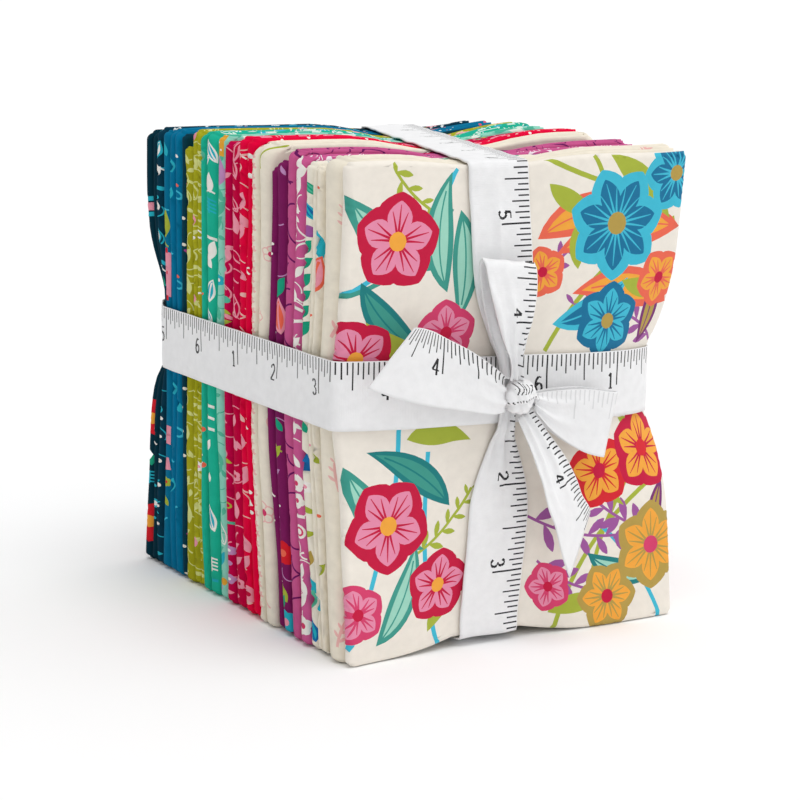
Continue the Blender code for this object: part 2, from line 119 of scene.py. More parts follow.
# The bow: across, height, how proud of the front, half width, the turn of the width from upright, and how
# far the width leans out at one edge
KNOT_CENTRE = (-2.8, 73.0, 3.7)
KNOT_RADII = (4.4, 5.0, 4.0)
LOOP_UP = (
    (-4.6, 78.2, 5.0, 2.4, 90, 0),
    (-5.4, 83.2, 5.9, 2.2, 91, 0),
    (-6.4, 88.5, 6.4, 3.6, 92, 0),
    (-6.6, 95.0, 6.6, 5.6, 94, 0),
    (-7.1, 103.6, 6.2, 7.9, 96, 0),
    (-7.8, 110.6, 5.6, 8.6, 97, 0),
    (-8.0, 112.2, 4.3, 8.8, 97, 0),
    (-8.0, 110.6, 3.0, 8.7, 97, 0),
    (-7.0, 102.5, 2.4, 8.4, 96, 0),
    (-5.9, 91.4, 2.2, 6.4, 94, 0),
    (-5.0, 83.2, 2.2, 3.4, 91, 0),
    (-4.6, 78.2, 2.6, 2.4, 90, 0),
)
LOOP_RIGHT = (
    (1.9, 71.0, 4.4, 2.4, 0, 0),
    (8.0, 68.0, 5.4, 6.0, 1, 0),
    (17.7, 64.8, 5.8, 9.0, 3, 0),
    (26.6, 62.5, 5.2, 9.6, 10, 0),
    (29.0, 62.2, 3.7, 9.7, 12, 0),
    (26.6, 62.7, 2.3, 9.6, 10, 0),
    (17.7, 65.1, 1.7, 8.8, 3, 0),
    (8.0, 68.3, 1.6, 5.8, 1, 0),
    (1.9, 71.4, 2.6, 2.4, 0, 0),
)
TAIL_LEFT = (
    (-7.8, 74.0, 4.0, 5.0, -2, 0),
    (-11.5, 75.2, 4.6, 6.6, 1, 0),
    (-19.4, 78.8, 4.6, 8.9, -5, 0),
    (-30.0, 82.4, 5.0, 10.0, 3, 0),
    (-38.6, 85.2, 6.0, 10.3, 22, 0),
    (-46.8, 87.9, 7.0, 10.6, 42, 0),
)
TAIL_LOW = (
    (-1.2, 67.8, 4.2, 2.4, 66, 0),
    (2.0, 60.9, 6.6, 3.7, 60, -1.0),
    (6.8, 51.6, 7.8, 5.7, 72, -2.2),
    (10.3, 43.4, 8.0, 7.2, 68, -3.0),
    (13.3, 37.2, 7.6, 7.8, 62, -3.4),
    (17.4, 27.9, 6.6, 9.9, 35, -3.4),
)

# Where the model stands: its knot tells how the solids were moved to the origin
knot_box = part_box("knot")
STAND = (Vector(knot_box[0]) + Vector(knot_box[1])) / 2 / MM
STAND -= Vector((KNOT_CENTRE[0], -KNOT_CENTRE[2] - DEPTH / 2, KNOT_CENTRE[1]))


# The shape that the ribbon gives the bundle. A nominal point is across, deep (from the front) and high.


def fade(distance, reach):
    return min(1, max(0, 1 - distance / reach))


def lean(deep):
    for (start, one), (end, other) in zip(LEAN, LEAN[1:]):
        if deep <= end:
            return one + (other - one) * (deep - start) / (end - start)
    return LEAN[-1][1]


def band_middle(across):
    return BAND_HEIGHT + BAND_SLOPE * across


def waist_share(across, high):
    gap = max(0, abs(high - band_middle(across)) - RIBBON_WIDTH / 2)
    return math.exp(-gap / PINCH_REACH)


def tuck_share(across, high):
    above = high - band_middle(across) - RIBBON_WIDTH / 2
    below = band_middle(across) - RIBBON_WIDTH / 2 - high
    return math.exp(-((max(0, above) / TUCK_ABOVE) ** 2) - max(0, below) / TUCK_BELOW)


def upright_middle(deep, high):
    back = UPRIGHT_X["back bottom"] + (UPRIGHT_X["back top"] - UPRIGHT_X["back bottom"]) * high / HEIGHT
    return UPRIGHT_X["front"] + (back - UPRIGHT_X["front"]) * deep / DEPTH


def pressed(across, deep, high):
    return fade(abs(across - upright_middle(deep, high)) - PRESS_HALF, PRESS_REACH) ** 2


def arch(deep):
    return ARCH + ARCH_FRONT * fade(deep, ARCH_DEPTH) ** 2


def wave(reach, *place):
    """Smooth unevenness between about -0.7 and 0.7, repeating nowhere."""
    return noise.noise(Vector(place) / reach)


def drawn_in(across, deep, high):
    """The nominal point in the model's own axes, in millimetres."""
    waist = waist_share(across, high)
    press = pressed(across, deep, high)
    reach = min(1, abs(across) / (WIDTH / 2))
    behind = DEPTH - deep
    if across > 0:
        x = across - PINCH_RIGHT * waist * reach**2
        front = FRONT_RIGHT_DIP * reach**4 * fade(deep, FRONT_RIGHT_DEPTH)
        back = BACK_RIGHT_DIP * reach**4
    else:
        x = across + TUCK_LEFT * tuck_share(across, high) * fade(behind, TUCK_DEPTH) * reach**2
        front = FRONT_LEFT_DIP * reach**4 * fade(deep, FRONT_LEFT_DEPTH)
        back = BACK_LEFT_DIP * reach**4
    front = waist * (front + FRONT_DIP * fade(deep, FRONT_DIP_DEPTH))
    back = waist * (back + BACK_DIP) * fade(behind, BACK_DIP_DEPTH)
    dent = PRESS_FRONT * press * (fade(deep, BACK_DIP_DEPTH) - fade(behind, BACK_DIP_DEPTH))
    inner = fade(abs(deep - DEPTH / 2), DEPTH / 2)
    spread = (lean(deep) if across < 0 else SPREAD * inner) * fade(high, SPREAD_HEIGHT) * reach**4
    sway = SWAY * inner * wave(SWAY_REACH, across, deep * 2.2, high + 70)
    relief = RELIEF * fade(deep, RELIEF_DEPTH) * (1 - RELIEF_HELD * waist)
    relief *= wave(RELIEF_REACH, across, 31, high)
    y = deep - DEPTH / 2 + front - back + dent + sway - spread + relief
    return Vector((x, y, high)) + STAND


# Meshes

# Printed shapes smaller than this, in square millimetres, are left out
LEAST_AREA = 0.01


def finished_mesh(name, points, faces, colours, cloth):
    """A closed smooth mesh from points in millimetres, with the cloth's own coordinates and print colours."""
    mesh = bpy.data.meshes.new(name)
    mesh.from_pydata([point * MM for point in points], [], faces)
    for title, kind, domain, key, values in (
        ("cloth", "FLOAT_VECTOR", "POINT", "vector", cloth),
        ("print", "FLOAT_COLOR", "FACE", "color", colours),
    ):
        layer = mesh.attributes.new(title, kind, domain)
        layer.data.foreach_set(key, [part for value in values for part in value])
    shape = bmesh.new()
    shape.from_mesh(mesh)
    bmesh.ops.recalc_face_normals(shape, faces=shape.faces)
    shape.to_mesh(mesh)
    shape.free()
    for polygon in mesh.polygons:
        polygon.use_smooth = True
    piece = bpy.data.objects.new(name, mesh)
    bpy.context.scene.collection.objects.link(piece)
    return piece


def clipped(outline, low, high):
    """The part of an outline inside a box."""
    kept = [Vector(place) for place in outline]
    for axis, limit, sign in ((0, low.x, 1), (0, high.x, -1), (1, low.y, 1), (1, high.y, -1)):
        source, kept = kept, []
        for one, other in zip(source, source[1:] + source[:1]):
            a, b = (one[axis] - limit) * sign, (other[axis] - limit) * sign
            if a >= 0:
                kept.append(one)
            if a * b < 0:
                kept.append(one.lerp(other, a / (a - b)))
    return kept


def parted(outline, size):
    """The outline with its long edges parted, so that they follow the sheet's folds."""
    found = []
    for one, other in zip(outline, outline[1:] + outline[:1]):
        count = max(1, round((other - one).length / size))
        found += [one.lerp(other, i / count) for i in range(count)]
    return found


def inlaid_sheet(name, along, up, point, ground, shapes, closed=False):
    """A closed sheet whose one face is parted along the outlines of its printed shapes.

    point(u, v, side) gives its two faces, and shapes are (colour, outline) in painting order.
    """
    flat = [Vector((u, v)) for u in along for v in up]
    rows, columns = len(along), len(up)
    rim = [i * columns for i in range(rows)]
    rim += [(rows - 1) * columns + j for j in range(1, columns)]
    rim += [i * columns + columns - 1 for i in range(rows - 2, -1, -1)]
    rim += [j for j in range(columns - 2, 0, -1)]
    outlines, paints = [rim], [ground]
    low, high = Vector((along[0], up[0])), Vector((along[-1], up[-1]))
    size = (high.y - low.y) / (columns - 1)
    for colour, outline in shapes:
        kept = parted(clipped(outline, low, high), size)
        area = sum(a.cross(b) for a, b in zip(kept, kept[1:] + kept[:1]))
        if len(kept) < 3 or abs(area) < LEAST_AREA:
            continue
        if area < 0:
            kept.reverse()
        outlines.append(list(range(len(flat), len(flat) + len(kept))))
        paints.append(colour)
        flat += kept
    places, _, triangles, _, _, sources = delaunay_2d_cdt(flat, [], outlines, 1, 1e-4, True)
    merged = list(range(len(places)))
    if closed:
        starts = {round(p.y, 2): i for i, p in enumerate(places) if abs(p.x - low.x) < 1e-3}
        for i, p in enumerate(places):
            if abs(p.x - high.x) < 1e-3:
                merged[i] = starts[round(p.y, 2)]
    kept = sorted(set(merged))
    number = {old: new for new, old in enumerate(kept)}
    cloth = [(places[i].x, places[i].y, side) for side in (1, -1) for i in kept]
    points = [point(*place) for place in cloth]
    back = len(kept)
    faces, colours, edges = [], [], set()
    for triangle, source in zip(triangles, sources):
        corners = [number[merged[i]] for i in triangle]
        if len(set(corners)) < 3 or not source:
            continue
        faces += [corners, [corner + back for corner in reversed(corners)]]
        colours += [paints[max(source)], ground]
        edges.update(zip(corners, corners[1:] + corners[:1]))
    for a, b in sorted(edges):
        if (b, a) not in edges:
            faces.append([b, a, a + back, b + back])
            colours.append(ground)
    return finished_mesh(name, points, faces, colours, cloth)


def steps(start, end, size):
    """Even steps of about that size, both ends included."""
    count = max(1, round(abs(end - start) / size))
    return [start + (end - start) * i / count for i in range(count + 1)]


# The quarters: one strip, folded back and forth


class Folded:
    """A folded quarter as a strip: u runs along it through its folds, and v up it."""

    def __init__(self, row, start):
        _, self.share, folds, self.set_in, self.top, self.lift, self.corner = row
        order = FOLDS[folds]
        self.thick = (self.share - PIECE_GAP - (len(order) - 1) * LAYER_GAP) / len(order)
        pitch = self.thick + LAYER_GAP
        self.caps = [self.thick / 2 * math.pi / 2 * share for share in EDGE_STEPS]
        self.start = start
        self.parts = []
        turns = list(zip(order, order[1:]))
        u = 0
        for index, layer in enumerate(order):
            deep = start + PIECE_GAP / 2 + self.thick / 2 + layer * pitch
            rightward = index % 2 == 1
            insets, seeds = [], []
            for end_turns in (turns[::2], turns[1::2]):
                holding = [t for t in end_turns if min(t) <= layer <= max(t)]
                span = max((abs(a - b) for a, b in holding), default=0)
                insets.append((span * pitch + self.thick) / 2)
                seeds.append(min(min(t) for t in holding) if holding else layer + 0.5)
            run = WIDTH - sum(insets)
            self.parts.append(("run", u, u + run, deep, 0, rightward, insets, seeds))
            u += run
            if index < len(turns):
                radius = (order[index + 1] - layer) * pitch / 2
                turn = math.pi * abs(radius)
                self.parts.append(("turn", u, u + turn, deep, radius, rightward, insets, seeds))
                u += turn
        self.length = u
        # The middles of the folds that show on the left, front to back
        lefts = [(min(t), max(t), self.parts[4 * i + 1]) for i, t in enumerate(turns[::2])]
        shown = [(a, p) for a, b, p in lefts if not any(c < a and b < d for c, d, _ in lefts)]
        self.folds = [((p[1] + p[2]) / 2, (p[2] - p[1]) / 2) for _, p in sorted(shown, key=lambda s: s[0])]

    def stations(self, run_steps):
        """Places along the strip: finer near the ends and round the folds."""
        found = [-cap for cap in reversed(self.caps)]
        for kind, low, high, _, radius, *_ in self.parts:
            if kind == "run":
                found += [low + share * (high - low) for share in run_steps[:-1]]
            else:
                count = 8 + 2 * round(abs(radius))
                found += [low + (high - low) * i / count for i in range(count)]
        return found + [self.length] + [self.length + cap for cap in self.caps]

    def levels(self, size):
        """Heights: finer where the corners are round."""
        corner = max(self.corner, 1)
        foot = [FOOT_RADIUS * (1 - math.cos(a)) for a in steps(0, math.pi / 2, 0.32)]
        head = [HEIGHT - corner * (1 - math.cos(a)) for a in steps(math.pi / 2, 0, 0.25)]
        between = steps(foot[-1], head[0], size)[1:-1]
        low, high = [-cap for cap in reversed(self.caps)], [HEIGHT + cap for cap in self.caps]
        return low + foot + between + head + high

    def __call__(self, u, v, side):
        part = next((p for p in self.parts if u <= p[2]), self.parts[-1])
        kind, low, high, deep, turn_radius, rightward, (left_inset, right_inset), seeds = part
        radius = self.thick / 2
        tip = max(0, -u, u - self.length) / radius
        crest = max(0, -v, v - HEIGHT) / radius
        half = side * radius * max(EDGE_SHARE, math.cos(tip)) * max(EDGE_SHARE, math.cos(crest))
        share = min(1, max(0, (u - low) / (high - low)))
        if kind == "run":
            a = share if rightward else 1 - share
            inset = left_inset * (1 - a) - right_inset * a
            beyond = radius * math.sin(tip)
            inset += beyond if (u > self.length) == rightward else -beyond
            nx, nd = 0, (-1 if rightward else 1)
        else:
            a = 1 if rightward else 0
            angle = math.pi * share
            outward = 1 if rightward else -1
            bend = outward * abs(turn_radius) * math.sin(angle)
            inset = (-right_inset if rightward else left_inset) + bend
            deep += turn_radius * (1 - math.cos(angle))
            nx = math.copysign(math.sin(angle), turn_radius)
            nd = (-1 if rightward else 1) * math.cos(angle)
        high = min(max(v, 0), HEIGHT)
        left_end, right_end = self.ends(high, seeds)
        across = left_end + (right_end - left_end) * a + inset + nx * half
        deep += nd * half
        return self.placed(across, deep, high, crest if v > 0 else -crest)

    def ends(self, high, seeds):
        loose = 1 - waist_share(0, high)
        top_gap = HEIGHT - high
        rounding = self.corner - math.sqrt(self.corner**2 - max(0, self.corner - top_gap) ** 2)
        rounding += FOOT_RADIUS - math.sqrt(FOOT_RADIUS**2 - max(0, FOOT_RADIUS - high) ** 2)
        left = -WIDTH / 2 + self.set_in * loose + rounding
        right = WIDTH / 2 - self.set_in * loose / 2 - rounding * RIGHT_ROUNDING
        left += loose * END_UNEVEN * wave(END_UNEVEN_REACH, self.start * 9 + seeds[0] * 60, high, 5)
        right += loose * END_UNEVEN * wave(END_UNEVEN_REACH, self.start * 9 + seeds[1] * 60, high, 90)
        return left, right

    def placed(self, across, deep, high, crest):
        press = pressed(across, deep, high)
        low = max(self.lift, arch(deep)) * press + self.lift * (1 - press)
        uneven = TOP_UNEVEN * wave(TOP_UNEVEN_REACH, across, self.start * 5 + deep, 3)
        out = 2 * (deep - self.start) / self.share - 1
        crown = CROWN * self.share * out**2
        top = HEIGHT + (self.top + uneven - crown) * (1 - press) - PRESS_TOP * press
        radius = self.thick / 2
        z = low + radius + (top - low - 2 * radius) * high / HEIGHT
        z += radius * math.sin(crest)
        return drawn_in(across, deep, z)


RUN_STEPS = (
    0, 0.012, 0.035, 0.075, 0.14, 0.22, 0.3, 0.38, 0.46, 0.54, 0.62, 0.7, 0.78, 0.86, 0.925, 0.965, 0.988, 1
)


# Colours


def ink(code):
    """A colour from its screen code."""
    parts = [int(code[i : i + 2], 16) / 255 for i in (0, 2, 4)]
    return (*(p / 12.92 if p <= 0.04045 else ((p + 0.055) / 1.055) ** 2.4 for p in parts), 1)


CREAM = ink("f1eadf")
RIBBON = ink("f1f1f2")
INK = ink("242326")
FAINT = ink("dededf")
NO_INK = (0, 0, 0, 0)


# Shapes of the front quarter's print, in millimetres: painting order, outlines as lists of places


def turned(places, x, y, angle):
    c, s = math.cos(math.radians(angle)), math.sin(math.radians(angle))
    return [(x + c * px - s * py, y + s * px + c * py) for px, py in places]


def petal(x, y, angle, length, width, tip=1.0, count=12):
    """A rounded outline from its root at the place: tip above 1 is blunter."""
    upper = []
    for i in range(count + 1):
        t = (1 - math.cos(math.pi * i / count)) / 2
        upper.append((length * t, width / 2 * math.sin(math.pi * t**tip) ** 0.8))
    lower = [(px, -py) for px, py in reversed(upper[1:-1])]
    return turned(upper + lower, x, y, angle)


def sides_of(path, widths):
    """The two sides of a tapered stroke along places."""
    one, other = [], []
    for i, (x, y) in enumerate(path):
        ax, ay = path[max(0, i - 1)]
        bx, by = path[min(len(path) - 1, i + 1)]
        length = math.hypot(bx - ax, by - ay) or 1
        nx, ny = -(by - ay) / length, (bx - ax) / length
        half = widths[i] / 2 if hasattr(widths, "__len__") else widths / 2
        one.append((x + nx * half, y + ny * half))
        other.append((x - nx * half, y - ny * half))
    return one, other


def drawn(shapes, colour, path, widths):
    """Adds a tapered stroke, piece by piece."""
    one, other = sides_of(path, widths)
    for i in range(len(path) - 1):
        shapes.append((colour, [one[i], one[i + 1], other[i + 1], other[i]]))


def bent(x, y, angle, length, bend, count=10):
    """Places along a stem that leaves at the angle and turns by bend degrees."""
    places = [(x, y)]
    for i in range(count):
        heading = math.radians(angle + bend * (i + 0.5) / count)
        x, y = x + math.cos(heading) * length / count, y + math.sin(heading) * length / count
        places.append((x, y))
    return places


def leaf_along(path, width, share=1.0):
    """A leaf's outline along a bent path."""
    count = len(path) - 1
    widths = [max(0.05, width * share * math.sin(math.pi * (i / count) ** 0.85)) for i in range(count + 1)]
    one, other = sides_of(path, widths)
    return one + other[::-1]


PRINT_INKS = {
    "crimson": ink("c8103f"), "pink": ink("ea8fae"), "rose": ink("d9406e"),
    "teal": ink("3f9a8c"), "pale": ink("9fd8c4"), "pine": ink("1d7f80"), "sky": ink("3fbcd6"),
    "blue": ink("14729c"), "coral": ink("ee6a52"), "orange": ink("f5a93f"), "lime": ink("a9b63f"),
    "purple": ink("a0589e"), "plum": ink("7b2f74"), "gold": ink("b79b4c"), "red": ink("d8222f"),
    "white": ink("f4f0ea"), "turquoise": ink("2bb3c6"), "ochre": ink("e8a93a"), "orchid": ink("c490c2"),
    "green": ink("1fa27f"), "mint": ink("58bb9c"), "pear": ink("d6da8c"), "peony": ink("f09aad"),
    "dark": ink("6a1a5e"), "royal": ink("1b6fb0"), "blush": ink("eebab5"),
}


def blossom(shapes, x, y, size, turn, petals, outer, inner, centre):
    """A round flower: broad petals, paler hearts and fine streaks in them."""
    petals = int(petals)
    for i in range(petals):
        angle = turn + 360 * i / petals
        shapes.append((PRINT_INKS[outer], petal(x, y, angle, size, size * 5.2 / petals, 1.35)))
    for i in range(petals):
        angle = turn + 360 * i / petals
        shapes.append((PRINT_INKS[inner], petal(x, y, angle, size * 0.82, size * 2.9 / petals, 1.25)))
        for side in (-13, 0, 13):
            path = bent(x, y, angle + side, size * (0.62 if side else 0.74), side * 0.6, 5)
            drawn(shapes, PRINT_INKS[outer], path, (0.9, 0.8, 0.7, 0.55, 0.4, 0.2))
    spot(shapes, x, y, size * 0.2, PRINT_INKS[centre], math.tau / 12)


def leaf(shapes, x, y, angle, length, width, bend, outer, inner=None):
    path = bent(x, y, angle, length, bend, 12)
    shapes.append((PRINT_INKS[outer], leaf_along(path, width)))
    if inner:
        shapes.append((PRINT_INKS[inner], leaf_along(path[1:-1], width, 0.62)))
        drawn(shapes, PRINT_INKS[outer], path[1:-2], 0.5)


def stem(shapes, x, y, angle, length, bend, width, colour):
    drawn(shapes, PRINT_INKS[colour], bent(x, y, angle, length, bend, 14), width)


def sprig(shapes, x, y, angle, length, bend, leaves, size, colour):
    """A stem with leaflets in pairs."""
    count = 2 * int(leaves)
    path = bent(x, y, angle, length, bend, count)
    drawn(shapes, PRINT_INKS[colour], path, 0.9)
    for i in range(1, count + 1):
        ax, ay = path[i - 1]
        bx, by = path[i]
        heading = math.degrees(math.atan2(by - ay, bx - ax))
        turn = 48 if i % 2 else -48
        scale = 1 - 0.45 * i / count
        leaflet = petal(bx, by, heading + turn, size * scale, size * 0.36 * scale, 1.2, 6)
        shapes.append((PRINT_INKS[colour], leaflet))


def rows_of(table):
    """The rows of a table: its numbers and names stand between blanks, and its rows between commas."""
    return [[float(part) if part[-1].isdigit() else part for part in row.split()] for row in table.split(",")]


# The front's design. Stems: across, height, heading, length, turn, width and colour
STEMS = """
    -57 4 62 70 24 1.5 sky, -26 -4 104 62 -22 1.5 sky, -22 140 -112 52 -46 1.5 sky,
    -58 104 10 44 50 1.4 teal, 10 84 62 60 -44 1.5 lime, 58 132 190 62 -50 1.5 lime,
    24 141 -60 48 -50 1.5 lime, 58 60 214 56 44 1.5 lime, 14 -2 76 58 -50 1.5 lime, 54 -4 108 44 34 1.4 sky,
    -12 26 40 30 60 1.4 teal
"""
# Leaves: across, height, heading, length, width, turn and two colours
LEAVES = """
    -57 132 -58 40 11 52 teal pale, -24 104 112 36 10 -46 teal pale, -52 108 -66 34 9 46 pine teal,
    -20 128 -74 34 9 -34 teal pale, -56 56 -72 38 10 50 teal pale, -22 40 124 34 9 40 pine teal,
    -48 4 40 32 9 46 teal pale, -30 4 60 24 7 -40 lime, -36 62 12 22 7 -40 lime, -28 84 170 26 7 -40 lime,
    57 119 168 46 14 40 coral orange, 6 118 34 38 12 -52 coral orange, 57 96 150 40 12 46 coral orange,
    12 92 4 30 9 44 sky blue, 30 141 -30 30 8 -20 lime, 36 104 -24 22 6 36 lime, 9 134 -46 20 6 30 lime,
    20 108 100 18 6 -36 lime, 48 84 72 22 7 30 plum gold, 24 56 -70 26 6 34 lime, 40 62 -28 24 7 -34 lime,
    26 22 -44 34 8 66 pine pale, 56 42 236 26 6 40 plum gold, 12 4 24 22 6 -30 lime
"""
# Sprigs: across, height, heading, length, turn, pairs of leaves, their size and colour
SPRIGS = """
    4 34 -24 46 30 7 10 purple, 58 24 168 44 -36 7 10 purple, 8 20 -40 30 40 5 9 purple,
    56 84 140 40 40 6 8 purple, 4 100 60 30 -40 5 7 purple, -57 78 30 26 -30 5 6 lime,
    -34 28 20 26 40 5 6 lime, -44 141 -60 24 40 4 6 lime
"""
# Flowers: across, height, size, turn, petals and three colours
BLOSSOMS = """
    -41 119 14 14 5 crimson pink orange, -52 86 12 40 5 crimson pink orange,
    -24 92 10 20 5 rose pink crimson, -43 38 14 52 5 crimson pink orange, -26 17 11 8 5 crimson pink orange,
    -54 14 9 30 5 rose pink crimson, 33 121 17 10 7 sky blue gold, 54 135 12 0 6 sky blue gold,
    32 92 12 24 6 blue sky gold, 51 104 9 50 5 coral orange crimson, 8 108 8 30 5 coral orange crimson,
    30 47 12 30 5 red orange crimson, 49 52 13 12 5 crimson orange red, 50 22 14 30 6 gold orange rose,
    33 8 11 0 6 gold orange crimson, 12 12 8 40 5 rose pink crimson
"""


def front_shapes(folded):
    """The design laid on the strip: u runs from the right edge to the left fold."""
    shapes = []
    for draw, table in ((stem, STEMS), (sprig, SPRIGS), (leaf, LEAVES), (blossom, BLOSSOMS)):
        for row in rows_of(table):
            draw(shapes, *row)
    right = WIDTH / 2 - folded.thick / 2
    return [(colour, [(right - x, y) for x, y in outline]) for colour, outline in shapes]


